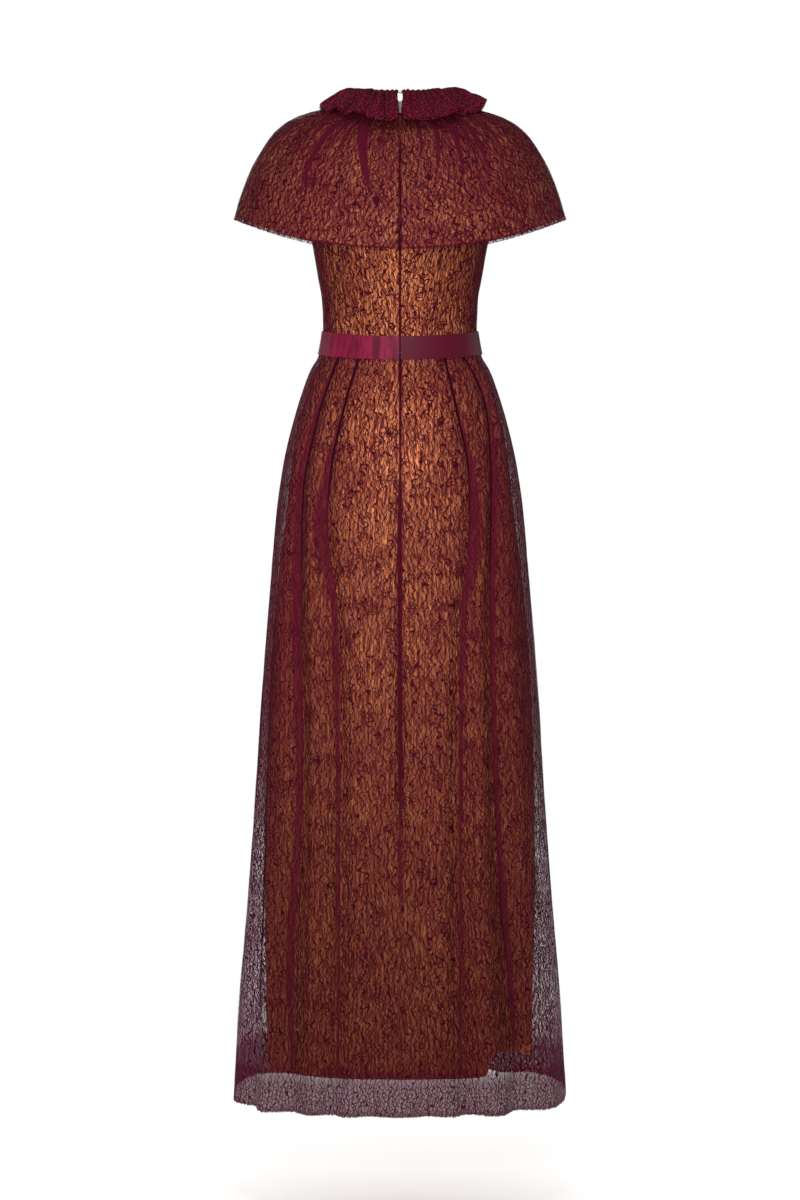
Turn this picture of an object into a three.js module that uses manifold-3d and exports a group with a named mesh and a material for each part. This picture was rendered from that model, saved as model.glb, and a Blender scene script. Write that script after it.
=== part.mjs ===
// An A-line evening gown: vein-patterned lace over a satin lining, a gathered capelet, a frilled collar
// and a satin ribbon at the waist. It keeps the hollow form that it has when it is worn.
// Millimetres, +Z up. The front of the gown faces -Y, and the wearer's left is +X.
// The origin is between the shoulders. Heights in the tables are above the lace hem.
import * as THREE from 'three';
import { mergeVertices } from 'three/addons/utils/BufferGeometryUtils.js';
import Module from 'manifold-3d';

const wasm = await Module();
wasm.setup();

// Driving dimensions
const SHOULDER_HEIGHT = 1445;
const WAIST_SEAM = 1115;
const UNDERARM = 1292;
const LINING_HEM = 47;
const LINING_WALL = 1.1;
const LACE_WALL = 1.1;
const RIBBON_WALL = 1.2;
const STAND_WALL = 1.4;
const FRILL_WALL = 1.4;
const LAYER_GAP = 0.4;
const SEAM_GAP = 0.4;
const FRILL_WAVES = 13;
const FRILL_WAVE_HEIGHT = 5.5;
const ZIP_TAPE_HALF = 11;
const ZIP_TAPE_WALL = 0.8;
const SLIDER = { y: 54.8, height: 1466.6, width: 5.2, length: 7.4, plate: 0.8 };
const BRIDGE = { width: 1.2, half: 3, opening: 1.5, bar: 0.8 };
const PULL = { length: 13, width: 3.2, thick: 0.8, slotHalf: 0.9, slotEnd: 4 };
const HOOK_WIRE = 0.35;

// Rings of the skirt's lace: half the width at the sides, and the depths to the front and the back
const LACE_SKIRT = [
  { height: 1115, side: 114.5, front: 88, back: 82, square: 2.1 },
  { height: 1097, side: 119.5, front: 92, back: 87, square: 2.1 },
  { height: 1080, side: 130, front: 97, back: 94, square: 2.15 },
  { height: 1043, side: 144, front: 104, back: 105, square: 2.2 },
  { height: 1000, side: 157, front: 109, back: 115, square: 2.25 },
  { height: 950, side: 168.5, front: 113, back: 123, square: 2.3 },
  { height: 880, side: 179, front: 118, back: 130, square: 2.35 },
  { height: 780, side: 188.5, front: 123, back: 136, square: 2.4 },
  { height: 640, side: 200, front: 130, back: 144, square: 2.5 },
  { height: 480, side: 211, front: 137, back: 152, square: 2.6 },
  { height: 320, side: 223, front: 145, back: 160, square: 2.7 },
  { height: 160, side: 237, front: 152, back: 168, square: 2.8 },
  { height: 47, side: 244.5, front: 157, back: 171, square: 2.8 },
  { height: 0, side: 247.5, front: 159, back: 172, square: 2.8 },
];

// Rings of the skirt's lining, a slim column that ends above the lace hem
const LINING_SKIRT = [
  { height: 1115, side: 112, front: 85.5, back: 79.5, square: 2.1 },
  { height: 1097, side: 116.5, front: 89, back: 84, square: 2.1 },
  { height: 1080, side: 126.5, front: 93, back: 90, square: 2.15 },
  { height: 1043, side: 139.5, front: 98, back: 99, square: 2.2 },
  { height: 1000, side: 150.5, front: 101, back: 106, square: 2.25 },
  { height: 950, side: 159, front: 103, back: 111, square: 2.3 },
  { height: 880, side: 167, front: 105, back: 115, square: 2.3 },
  { height: 780, side: 180, front: 107, back: 118, square: 2.3 },
  { height: 640, side: 193, front: 110, back: 121, square: 2.35 },
  { height: 480, side: 200, front: 113, back: 124, square: 2.4 },
  { height: 320, side: 203, front: 116, back: 127, square: 2.45 },
  { height: 160, side: 201, front: 119, back: 130, square: 2.5 },
  { height: 47, side: 199, front: 121, back: 132, square: 2.5 },
];

// Rings of the fitted bodice's lining up to the underarm, with the bust darts' fullness at the front
const BODICE = [
  { height: 1115, side: 112, front: 85.5, back: 79.5, square: 2.1 },
  { height: 1140, side: 111.5, front: 88, back: 81, square: 2.1 },
  { height: 1180, side: 113, front: 95, back: 86, square: 2.1 },
  { height: 1220, side: 119.5, front: 112, back: 92, square: 2.15 },
  { height: 1262, side: 127, front: 133, back: 98, square: 2.2 },
  { height: 1292, side: 134, front: 137, back: 100, square: 2.2 },
];

// Half the bodice's width at the armhole edge, by share of the way from the underarm to the shoulder
const ARMHOLE = [
  { share: 0, half: 134 },
  { share: 0.22, half: 124 },
  { share: 0.5, half: 124 },
  { share: 0.78, half: 133 },
  { share: 1, half: 146 },
];

// The neck seam, where the bodice, the capelet and the collar stand meet
const NECK = { half: 66, front: 70, back: 56, sideHeight: 1462, frontHeight: 1428, backHeight: 1448 };
const SHOULDER_TIP_HEIGHT = 1439;
const SHOULDER_SEAM_HALF = 0.8;
const CHEST_BULGE = 46;
const OVER_SHOULDER = { from: 36.3, to: 82.5 };

// Rings of the ribbon's inner face, from its top edge to its bottom edge
const RIBBON = [
  { height: 1137, side: 114.2, front: 90.4, back: 83.6, square: 2.1 },
  { height: 1120, side: 116.9, front: 91, back: 85, square: 2.1 },
  { height: 1103, side: 120.2, front: 93.2, back: 88, square: 2.1 },
];

// The capelet's side edge, as seen from the back, from the neck seam to its hem
const CAPE_SIDE = [
  { share: 0, out: 68, height: 1463.7 },
  { share: 0.25, out: 127, height: 1453 },
  { share: 0.38, out: 155, height: 1443 },
  { share: 0.5, out: 178, height: 1428 },
  { share: 0.62, out: 199, height: 1402 },
  { share: 0.8, out: 223, height: 1356 },
  { share: 1, out: 242, height: 1299 },
];
const CAPE_BACK = [
  { share: 0, out: 58, height: 1449.7 },
  { share: 0.25, out: 99, height: 1420 },
  { share: 0.5, out: 124, height: 1368 },
  { share: 0.75, out: 141, height: 1312 },
  { share: 1, out: 151, height: 1257 },
];
const CAPE_FRONT = [
  { share: 0, out: 72, height: 1429.7 },
  { share: 0.25, out: 112, height: 1396 },
  { share: 0.5, out: 142, height: 1350 },
  { share: 0.75, out: 158, height: 1300 },
  { share: 1, out: 163, height: 1250 },
];

// Gathers of the capelet: where they leave the neck and reach the hem, in degrees from the centre back,
// how high they stand, how wide they are at the hem, and how far down they run
const CAPE_GATHERS = [
  { top: 14, foot: 9, rise: 2.2, spread: 7, reach: 0.5 },
  { top: 27, foot: 17, rise: 5, spread: 9, reach: 0.72 },
  { top: 41, foot: 29, rise: 3.6, spread: 8, reach: 0.6 },
  { top: 56, foot: 43, rise: 4.6, spread: 9, reach: 0.8 },
  { top: 73, foot: 62, rise: 3.8, spread: 9, reach: 0.7 },
  { top: 90, foot: 84, rise: 3, spread: 9, reach: 0.6 },
  { top: 108, foot: 106, rise: 4, spread: 9, reach: 0.75 },
  { top: 126, foot: 130, rise: 3.4, spread: 8, reach: 0.6 },
  { top: 143, foot: 149, rise: 4.4, spread: 9, reach: 0.8 },
  { top: 160, foot: 166, rise: 3.2, spread: 8, reach: 0.65 },
  { top: 177, foot: 178, rise: 3.8, spread: 8, reach: 0.7 },
  { top: -11, foot: -7, rise: 2, spread: 7, reach: 0.5 },
  { top: -24, foot: -17, rise: 3.4, spread: 8, reach: 0.6 },
  { top: -37, foot: -28, rise: 4.4, spread: 8, reach: 0.75 },
  { top: -52, foot: -41, rise: 3.8, spread: 9, reach: 0.7 },
  { top: -68, foot: -57, rise: 4, spread: 9, reach: 0.65 },
  { top: -86, foot: -80, rise: 3.2, spread: 9, reach: 0.7 },
  { top: -104, foot: -103, rise: 3.6, spread: 9, reach: 0.6 },
  { top: -122, foot: -126, rise: 4.2, spread: 9, reach: 0.8 },
  { top: -140, foot: -146, rise: 3.2, spread: 8, reach: 0.65 },
  { top: -158, foot: -164, rise: 4, spread: 8, reach: 0.7 },
];

// Folds of the lace skirt. Each row: height, x of the fold's valley, depth, and half its width.
// A fold on the front has its valley where a like fold of the back would lie.
const SKIRT_FOLDS = [
  { name: 'centre_back', side: 1, rows: [
    { height: 1115, x: 0, depth: 0, width: 7 },
    { height: 940, x: 0, depth: 1, width: 7 },
    { height: 860, x: 0, depth: 7, width: 7 },
    { height: 500, x: 0, depth: 9, width: 8 },
    { height: 350, x: 0, depth: 1, width: 8 },
    { height: 0, x: 0, depth: 0, width: 12 },
  ] },
  { name: 'left_outer_back', side: 1, rows: [
    { height: 1115, x: 84, depth: 1, width: 7 },
    { height: 1068, x: 103, depth: 3, width: 8 },
    { height: 1000, x: 125, depth: 5, width: 10 },
    { height: 907, x: 145, depth: 8, width: 12 },
    { height: 745, x: 151, depth: 12, width: 16 },
    { height: 480, x: 148, depth: 15, width: 19 },
    { height: 213, x: 162, depth: 17, width: 23 },
    { height: 0, x: 160, depth: 19, width: 26 },
  ] },
  { name: 'left_inner_back', side: 1, rows: [
    { height: 1115, x: 57, depth: 0.5, width: 6 },
    { height: 1018, x: 84, depth: 3, width: 8 },
    { height: 935, x: 102, depth: 5, width: 9 },
    { height: 860, x: 108, depth: 8, width: 11 },
    { height: 720, x: 93, depth: 11, width: 14 },
    { height: 480, x: 90, depth: 13, width: 16 },
    { height: 60, x: 91, depth: 16, width: 20 },
    { height: 0, x: 106, depth: 17, width: 21 },
  ] },
  { name: 'right_inner_back', side: 1, rows: [
    { height: 1115, x: -62, depth: 0.5, width: 6 },
    { height: 1018, x: -84, depth: 3, width: 8 },
    { height: 935, x: -101, depth: 5, width: 9 },
    { height: 860, x: -104, depth: 8, width: 11 },
    { height: 720, x: -90, depth: 11, width: 14 },
    { height: 480, x: -88, depth: 13, width: 16 },
    { height: 60, x: -89, depth: 16, width: 20 },
    { height: 0, x: -105, depth: 17, width: 21 },
  ] },
  { name: 'right_outer_back', side: 1, rows: [
    { height: 1115, x: -86, depth: 1, width: 7 },
    { height: 1055, x: -118, depth: 4, width: 8 },
    { height: 1002, x: -132, depth: 6, width: 10 },
    { height: 907, x: -137, depth: 9, width: 12 },
    { height: 745, x: -136, depth: 12, width: 16 },
    { height: 467, x: -145, depth: 15, width: 19 },
    { height: 197, x: -166, depth: 17, width: 23 },
    { height: 0, x: -178, depth: 18, width: 25 },
  ] },
  { name: 'left_soft_back', side: 1, rows: [
    { height: 1115, x: 20, depth: 0, width: 12 },
    { height: 480, x: 26, depth: 0, width: 14 },
    { height: 250, x: 40, depth: 5, width: 18 },
    { height: 0, x: 50, depth: 9, width: 20 },
  ] },
  { name: 'right_soft_back', side: 1, rows: [
    { height: 1115, x: -20, depth: 0, width: 12 },
    { height: 480, x: -26, depth: 0, width: 14 },
    { height: 250, x: -40, depth: 5, width: 18 },
    { height: 0, x: -47, depth: 8, width: 20 },
  ] },
  { name: 'left_edge_back', side: 1, rows: [
    { height: 1115, x: 108, depth: 0, width: 10 },
    { height: 900, x: 172, depth: 2, width: 12 },
    { height: 400, x: 206, depth: 8, width: 16 },
    { height: 100, x: 214, depth: 13, width: 20 },
    { height: 0, x: 222, depth: 15, width: 22 },
  ] },
  { name: 'left_outer_front', side: -1, rows: [
    { height: 1115, x: 80, depth: 1, width: 7 },
    { height: 1000, x: 122, depth: 5, width: 10 },
    { height: 900, x: 139, depth: 7, width: 12 },
    { height: 640, x: 146, depth: 11, width: 17 },
    { height: 320, x: 157, depth: 15, width: 21 },
    { height: 0, x: 172, depth: 18, width: 25 },
  ] },
  { name: 'left_inner_front', side: -1, rows: [
    { height: 1115, x: 46, depth: 1, width: 6 },
    { height: 1000, x: 70, depth: 4, width: 9 },
    { height: 880, x: 84, depth: 7, width: 11 },
    { height: 640, x: 84, depth: 11, width: 15 },
    { height: 320, x: 92, depth: 14, width: 19 },
    { height: 0, x: 101, depth: 17, width: 22 },
  ] },
  { name: 'centre_front', side: -1, rows: [
    { height: 1115, x: 6, depth: 0, width: 10 },
    { height: 700, x: 8, depth: 3, width: 12 },
    { height: 400, x: 12, depth: 9, width: 17 },
    { height: 0, x: 18, depth: 15, width: 22 },
  ] },
  { name: 'right_inner_front', side: -1, rows: [
    { height: 1115, x: -49, depth: 1, width: 6 },
    { height: 1000, x: -74, depth: 4, width: 9 },
    { height: 880, x: -80, depth: 7, width: 11 },
    { height: 640, x: -76, depth: 10, width: 15 },
    { height: 320, x: -80, depth: 13, width: 18 },
    { height: 0, x: -84, depth: 16, width: 21 },
  ] },
  { name: 'right_outer_front', side: -1, rows: [
    { height: 1115, x: -84, depth: 1, width: 7 },
    { height: 1000, x: -125, depth: 5, width: 10 },
    { height: 900, x: -135, depth: 8, width: 12 },
    { height: 640, x: -142, depth: 12, width: 17 },
    { height: 320, x: -150, depth: 15, width: 21 },
    { height: 0, x: -159, depth: 17, width: 24 },
  ] },
];
const FOLD_LIFT = 0.3;
const FOLD_LIFT_AT = 1.9;
const LINING_CLEARANCE = 1.4;

// Steps along the walls
const SKIRT_ROWS = [1114.7, 1097, 1075, 1040, 1000, 950, 880, 780, 640, 480, 320, 160, 47, 0];
const LINING_ROWS = [1114.7, 1097, 1075, 1040, 1000, 950, 880, 780, 640, 480, 320, 160, LINING_HEM];
const BODICE_LOWER_ROWS = [1115.3, 1150, 1190, 1228, 1262];
const BODICE_UPPER_SHARES = [0, 0.22, 0.5, 0.78, 1];
const CAPE_SHARES = [0, 0.14, 0.3, 0.46, 0.64, 0.82, 1];

const rad = THREE.MathUtils.degToRad;
const lerp = THREE.MathUtils.lerp;
const degreesAt = (arc, radius) => THREE.MathUtils.radToDeg(arc / radius);

// A smooth value of one column of a table at a key between its rows. Its slopes are harmonic means,
// so that it never rises or falls past the rows.
function column(rows, key, name, at) {
  const sign = Math.sign(rows[rows.length - 1][key] - rows[0][key]);
  let i = 0;
  while (i < rows.length - 2 && sign * (at - rows[i + 1][key]) > 0) i += 1;
  const slope = (a, b) => (rows[b][name] - rows[a][name]) / (rows[b][key] - rows[a][key]);
  const span = rows[i + 1][key] - rows[i][key];
  const t = THREE.MathUtils.clamp((at - rows[i][key]) / span, 0, 1);
  const middle = slope(i, i + 1);
  const tangent = (k) => {
    if (k === 0 || k === rows.length - 1) return middle;
    const before = slope(k - 1, k);
    const after = slope(k, k + 1);
    return before * after <= 0 ? 0 : 2 * before * after / (before + after);
  };
  const a = rows[i][name];
  const b = rows[i + 1][name];
  const t2 = t * t;
  const t3 = t2 * t;
  return (2 * t3 - 3 * t2 + 1) * a + (t3 - 2 * t2 + t) * span * tangent(i)
    + (3 * t2 - 2 * t3) * b + (t3 - t2) * span * tangent(i + 1);
}

function ringAt(rows, height) {
  return {
    side: column(rows, 'height', 'side', height),
    front: column(rows, 'height', 'front', height),
    back: column(rows, 'height', 'back', height),
    square: column(rows, 'height', 'square', height),
  };
}

// A point on a ring, by the angle in degrees from the centre back towards the wearer's left
function ringPoint(ring, angle, grow = 0) {
  const power = 2 / ring.square;
  const s = Math.sin(rad(angle));
  const c = Math.cos(rad(angle));
  const depth = c > 0 ? ring.back : ring.front;
  return new THREE.Vector2(
    Math.sign(s) * Math.abs(s) ** power * (ring.side + grow),
    Math.sign(c) * Math.abs(c) ** power * (depth + grow),
  );
}

// The ring angle of a given x on the back (1) or the front (-1)
function angleOfX(ring, x, side) {
  const share = Math.min(1, Math.abs(x) / ring.side) ** (ring.square / 2);
  const angle = THREE.MathUtils.radToDeg(Math.asin(share)) * Math.sign(x);
  if (side > 0) return angle;
  return (x < 0 ? -180 : 180) - angle;
}

// The waist and the ribbon dip a little at the centre back
const WAIST_DIP = 5;
const WAIST_DIP_REACH = 60;
function waistDip(angle, height) {
  const nearWaist = Math.exp(-(((height - WAIST_SEAM) / WAIST_DIP_REACH) ** 2));
  return -WAIST_DIP * nearWaist * Math.max(0, Math.cos(rad(angle))) ** 2;
}

const place = (xy, height) => new THREE.Vector3(xy.x, xy.y, height - SHOULDER_HEIGHT);

function liningSkirt(angle, height) {
  return place(ringPoint(ringAt(LINING_SKIRT, height), angle), height + waistDip(angle, height));
}

// How far the lace stands off its ring at a point: valleys in, and a soft lift beside each one
function foldOffset(ring, point, height) {
  let offset = 0;
  for (const fold of SKIRT_FOLDS) {
    const depth = column(fold.rows, 'height', 'depth', height);
    const width = column(fold.rows, 'height', 'width', height);
    const x = column(fold.rows, 'height', 'x', height);
    const valley = ringPoint(ring, angleOfX(ring, x, fold.side));
    const away = valley.distanceTo(point) / width;
    offset += depth * (FOLD_LIFT * Math.exp(-((away - FOLD_LIFT_AT) ** 2)) - Math.exp(-(away ** 2)));
  }
  return offset;
}

function laceSkirt(angle, height) {
  const ring = ringAt(LACE_SKIRT, height);
  const base = ringPoint(ring, angle);
  const ahead = ringPoint(ring, angle + 1);
  const behind = ringPoint(ring, angle - 1);
  const out = new THREE.Vector2(-(ahead.y - behind.y), ahead.x - behind.x).normalize();
  const point = base.clone().addScaledVector(out, foldOffset(ring, base, height));
  // The lace rests on the lining where a fold would cut into it
  const core = ringAt(LINING_SKIRT, Math.max(height, LINING_HEM));
  const halfDepth = (point.y > 0 ? core.back : core.front) + LINING_CLEARANCE;
  const reach = (Math.abs(point.x / (core.side + LINING_CLEARANCE)) ** core.square
    + Math.abs(point.y / halfDepth) ** core.square) ** (1 / core.square);
  if (reach < 1) point.divideScalar(reach);
  return place(point, height + waistDip(angle, height));
}

// The bodice: rings up to the underarm, then each column runs on to the shoulder seam or the neck seam
function neckPoint(angle, grow = 0) {
  const s = Math.sin(rad(angle));
  const c = Math.cos(rad(angle));
  const depth = c > 0 ? NECK.back : NECK.front;
  const endHeight = c > 0 ? NECK.backHeight : NECK.frontHeight;
  return new THREE.Vector3((NECK.half + grow) * s, (depth + grow) * c,
    lerp(endHeight, NECK.sideHeight, s * s) - SHOULDER_HEIGHT);
}

function bodiceTop(half, s, front) {
  const x = half * s;
  if (Math.abs(x) < NECK.half) {
    const angle = THREE.MathUtils.radToDeg(Math.asin(x / NECK.half));
    return neckPoint(front ? 180 - angle : angle);
  }
  const t = (Math.abs(x) - NECK.half) / (half - NECK.half);
  return new THREE.Vector3(x, front ? -SHOULDER_SEAM_HALF : SHOULDER_SEAM_HALF,
    lerp(NECK.sideHeight, SHOULDER_TIP_HEIGHT, t) - SHOULDER_HEIGHT);
}

// angle runs from -90 to 90 across the back, or over the front; share is 0 at the underarm
function bodiceUpper(angle, share) {
  const front = Math.abs(angle) > 90;
  const s = Math.sin(rad(angle));
  const ring = ringAt(BODICE, UNDERARM);
  const start = ringPoint(ring, angle);
  const half = column(ARMHOLE, 'share', 'half', share);
  const top = bodiceTop(ARMHOLE[ARMHOLE.length - 1].half, s, front);
  const overShoulder = THREE.MathUtils.smoothstep(Math.abs(top.x), OVER_SHOULDER.from, OVER_SHOULDER.to);
  const roundOver = 1 - Math.sqrt(Math.max(0, 1 - share ** 2.4));
  const lean = lerp(share ** 1.5, roundOver, overShoulder);
  const bulge = CHEST_BULGE * Math.sin(Math.PI * share) * Math.abs(s) ** 5 * (front ? -1 : 1);
  const height = lerp(UNDERARM, top.z + SHOULDER_HEIGHT, share);
  const power = lerp(2 / ring.square, 1, share);
  const x = Math.sign(s) * Math.abs(s) ** power * half;
  return new THREE.Vector3(x, lerp(start.y, top.y, lean) + bulge, height - SHOULDER_HEIGHT);
}

// The second parameter of the whole bodice is a height up to the underarm, and then grows by this span
const UPPER_SPAN = 150;
function bodice(angle, way) {
  if (way > UNDERARM) return bodiceUpper(angle, (way - UNDERARM) / UPPER_SPAN);
  return place(ringPoint(ringAt(BODICE, way), angle), way + waistDip(angle, way));
}
const BODICE_WAYS = [
  ...BODICE_LOWER_ROWS, ...BODICE_UPPER_SHARES.map((share) => UNDERARM + share * UPPER_SPAN)];

// The capelet: a profile at the side, the back and the front, blended round, with gathers that fade
const CAPE_ROUND = 0.94;
const GATHER_SHARP = 0.55;
const GATHER_AT_HEM = 0.15;
const GATHER_START = 0.12;
function gatherRise(angle, share) {
  let rise = 0;
  for (const gather of CAPE_GATHERS) {
    const centre = lerp(gather.top, gather.foot, share);
    const away = THREE.MathUtils.euclideanModulo(angle - centre + 180, 360) - 180;
    const fade = lerp(GATHER_AT_HEM, 1, Math.max(0, 1 - (share / gather.reach) ** 2));
    const seated = Math.min(1, share / GATHER_START);
    rise += gather.rise * fade * seated * Math.exp(-((away / (gather.spread * GATHER_SHARP)) ** 2));
  }
  return rise;
}

function capelet(angle, share) {
  const s = Math.sin(rad(angle));
  const c = Math.cos(rad(angle));
  const end = c > 0 ? CAPE_BACK : CAPE_FRONT;
  const rise = gatherRise(angle, share);
  const x = (column(CAPE_SIDE, 'share', 'out', share) + rise) * Math.sign(s) * Math.abs(s) ** CAPE_ROUND;
  const y = (column(end, 'share', 'out', share) + rise) * Math.sign(c) * Math.abs(c) ** CAPE_ROUND;
  const endHeight = column(end, 'share', 'height', share);
  const sideHeight = column(CAPE_SIDE, 'share', 'height', share);
  return new THREE.Vector3(x, y, lerp(endHeight, sideHeight, s * s) - SHOULDER_HEIGHT);
}

// The collar stand rises from the neck seam, and the frill falls outwards from its top edge
const STAND = { backRise: 36, sideRise: 24, frontRise: 26, gap: 1.9, lean: 4.4 };
function standTop(angle) {
  const c = Math.cos(rad(angle));
  return lerp(STAND.sideRise, c > 0 ? STAND.backRise : STAND.frontRise, c * c);
}

function collarStand(angle, share) {
  const foot = neckPoint(angle, -STAND.lean * share);
  foot.z += lerp(STAND.gap, standTop(angle), share);
  return foot;
}

const FRILL = {
  rootIn: -4.6, side: 122, back: 106, front: 124, sideHeight: 1464, backHeight: 1449, frontHeight: 1423,
  crown: 9, waveOut: 3, sideWave: 0.35, uneven: 0.5,
};
function collarFrill(angle, share) {
  const s = Math.sin(rad(angle));
  const c = Math.cos(rad(angle));
  const root = neckPoint(angle, FRILL.rootIn);
  root.z += standTop(angle) + LAYER_GAP;
  const edgeHeight = lerp(c > 0 ? FRILL.backHeight : FRILL.frontHeight, FRILL.sideHeight, s * s);
  const wave = Math.cos(rad(angle) * FRILL_WAVES + FRILL.uneven * Math.sin(rad(angle) * 3));
  const edge = new THREE.Vector3(
    FRILL.side * s, (c > 0 ? FRILL.back : FRILL.front) * c, edgeHeight - SHOULDER_HEIGHT);
  edge.z += FRILL_WAVE_HEIGHT * wave * lerp(FRILL.sideWave, 1, c * c);
  edge.x -= FRILL.waveOut * wave * s;
  edge.y -= FRILL.waveOut * wave * c;
  const arch = FRILL.crown * Math.sin(Math.PI * share ** 0.7);
  const point = root.lerp(edge, share);
  point.z += arch;
  return point;
}

// A closed wall over a grid of a surface, from lift to lift + thickness along its outward normal.
// places gives the list of first parameters, in degrees, for each value of the second.
// upwards is 1 where the second parameter grows upwards, and -1 where it grows downwards.
// A one-sided wall takes its normals from its own side of each seam alone.
function wall(surface, places, ways, thickness, lift, { upwards = 1, oneSided = false } = {}) {
  const inner = [];
  const outer = [];
  let columns = 0;
  for (const way of ways) {
    const row = places(way);
    columns = row.length - 1;
    for (const u of row) {
      const point = surface(u, way);
      const ends = oneSided ? [row[0], row[columns]] : [-Infinity, Infinity];
      const out = normalOf(surface, u, ends, way, ways).multiplyScalar(upwards);
      inner.push(point.clone().addScaledVector(out, lift));
      outer.push(point.clone().addScaledVector(out, lift + thickness));
    }
  }
  const across = columns + 1;
  const count = inner.length;
  const index = [];
  const quad = (a, b, c, d) => index.push(a, b, c, a, c, d);
  for (let j = 0; j < ways.length - 1; j += 1) {
    for (let i = 0; i < columns; i += 1) {
      const a = j * across + i;
      const b = a + 1;
      const c = b + across;
      const d = a + across;
      quad(count + a, count + b, count + c, count + d);
      quad(a, d, c, b);
    }
    const left = j * across;
    const right = left + columns;
    quad(left, count + left, count + left + across, left + across);
    quad(right + across, count + right + across, count + right, right);
  }
  const last = (ways.length - 1) * across;
  for (let i = 0; i < columns; i += 1) {
    quad(i + 1, count + i + 1, count + i, i);
    quad(last + i, count + last + i, count + last + i + 1, last + i + 1);
  }
  return solid([...inner, ...outer], index);
}

// The outward normal of a surface from small steps along both of its parameters
const ANGLE_STEP = 0.6;
const WAY_STEP_SHARE = 0.004;
function normalOf(surface, u, [from, to], way, ways) {
  const low = Math.min(ways[0], ways[ways.length - 1]);
  const high = Math.max(ways[0], ways[ways.length - 1]);
  const step = (high - low) * WAY_STEP_SHARE;
  const ahead = surface(Math.min(to, u + ANGLE_STEP), way);
  const behind = surface(Math.max(from, u - ANGLE_STEP), way);
  const up = surface(u, Math.min(high, way + step));
  const down = surface(u, Math.max(low, way - step));
  return up.sub(down).cross(ahead.sub(behind)).normalize();
}

// A mesh geometry from points and triangles, turned so that its faces point outwards
function solid(points, index) {
  let volume = 0;
  for (let i = 0; i < index.length; i += 3) {
    volume += points[index[i]].dot(points[index[i + 1]].clone().cross(points[index[i + 2]]));
  }
  const faces = [];
  for (let i = 0; i < index.length; i += 3) {
    if (volume > 0) faces.push(index[i], index[i + 1], index[i + 2]);
    else faces.push(index[i + 2], index[i + 1], index[i]);
  }
  const geometry = new THREE.BufferGeometry().setFromPoints(points);
  geometry.setIndex(faces);
  geometry.computeVertexNormals();
  return geometry;
}

const MATERIALS = {
  lace: new THREE.MeshStandardMaterial({ color: '#6a1526', roughness: 0.75, metalness: 0 }),
  lining: new THREE.MeshStandardMaterial({ color: '#a85a34', roughness: 0.4, metalness: 0 }),
  frill: new THREE.MeshStandardMaterial({ color: '#5a0f20', roughness: 0.8, metalness: 0 }),
  ribbon: new THREE.MeshStandardMaterial({ color: '#7c2140', roughness: 0.4, metalness: 0 }),
  zip: new THREE.MeshStandardMaterial({ color: '#7d5f66', roughness: 0.45, metalness: 0.4 }),
};

const gown = new THREE.Group();
function add(name, geometry, material) {
  const mesh = new THREE.Mesh(geometry, MATERIALS[material]);
  mesh.name = name;
  gown.add(mesh);
  return mesh;
}

// A list of evenly spaced values, and one that runs through given places with the same steps between each
function spread(from, to, columns) {
  return Array.from({ length: columns + 1 }, (_, i) => lerp(from, to, i / columns));
}
function through(stops, columns) {
  const parts = stops.slice(0, -1).map((stop, k) => spread(stop, stops[k + 1], columns).slice(0, -1));
  return [...parts.flat(), stops[stops.length - 1]];
}

// Angles half a seam's gap away from the centre back and from a side, on a ring
const besideBack = (ring) => angleOfX(ring, SEAM_GAP / 2, 1);
function besideSide(ring, depth) {
  return THREE.MathUtils.radToDeg(Math.asin((SEAM_GAP / 2 / depth) ** (ring.square / 2)));
}

// The two ends of a panel on a ring. The front runs from the left side round to the right one.
function panelEnds(part, ring) {
  const side = besideSide(ring, ring.front);
  if (part === 'front') return [90 + side, 270 - side];
  const ends = [besideBack(ring), 90 - besideSide(ring, ring.back)];
  return part === 'back_left' ? ends : [-ends[1], -ends[0]];
}
const wrapped = (surface) => (angle, way) => surface(angle > 180 ? angle - 360 : angle, way);

// Bodice: the front is one piece, and the back is two that meet at the zip
const BODICE_COLUMNS = { front: 20, back_left: 10, back_right: 10 };
for (const [part, columns] of Object.entries(BODICE_COLUMNS)) {
  const places = (way) => spread(...panelEnds(part, ringAt(BODICE, Math.min(way, UNDERARM))), columns);
  const bodicePanel = (thickness, lift) => wall(
    wrapped(bodice), places, BODICE_WAYS, thickness, lift, { oneSided: true });
  add(`bodice_lining_${part}`, bodicePanel(LINING_WALL, -LINING_WALL), 'lining');
  add(`bodice_lace_${part}`, bodicePanel(LACE_WALL, LAYER_GAP), 'lace');
}

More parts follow.
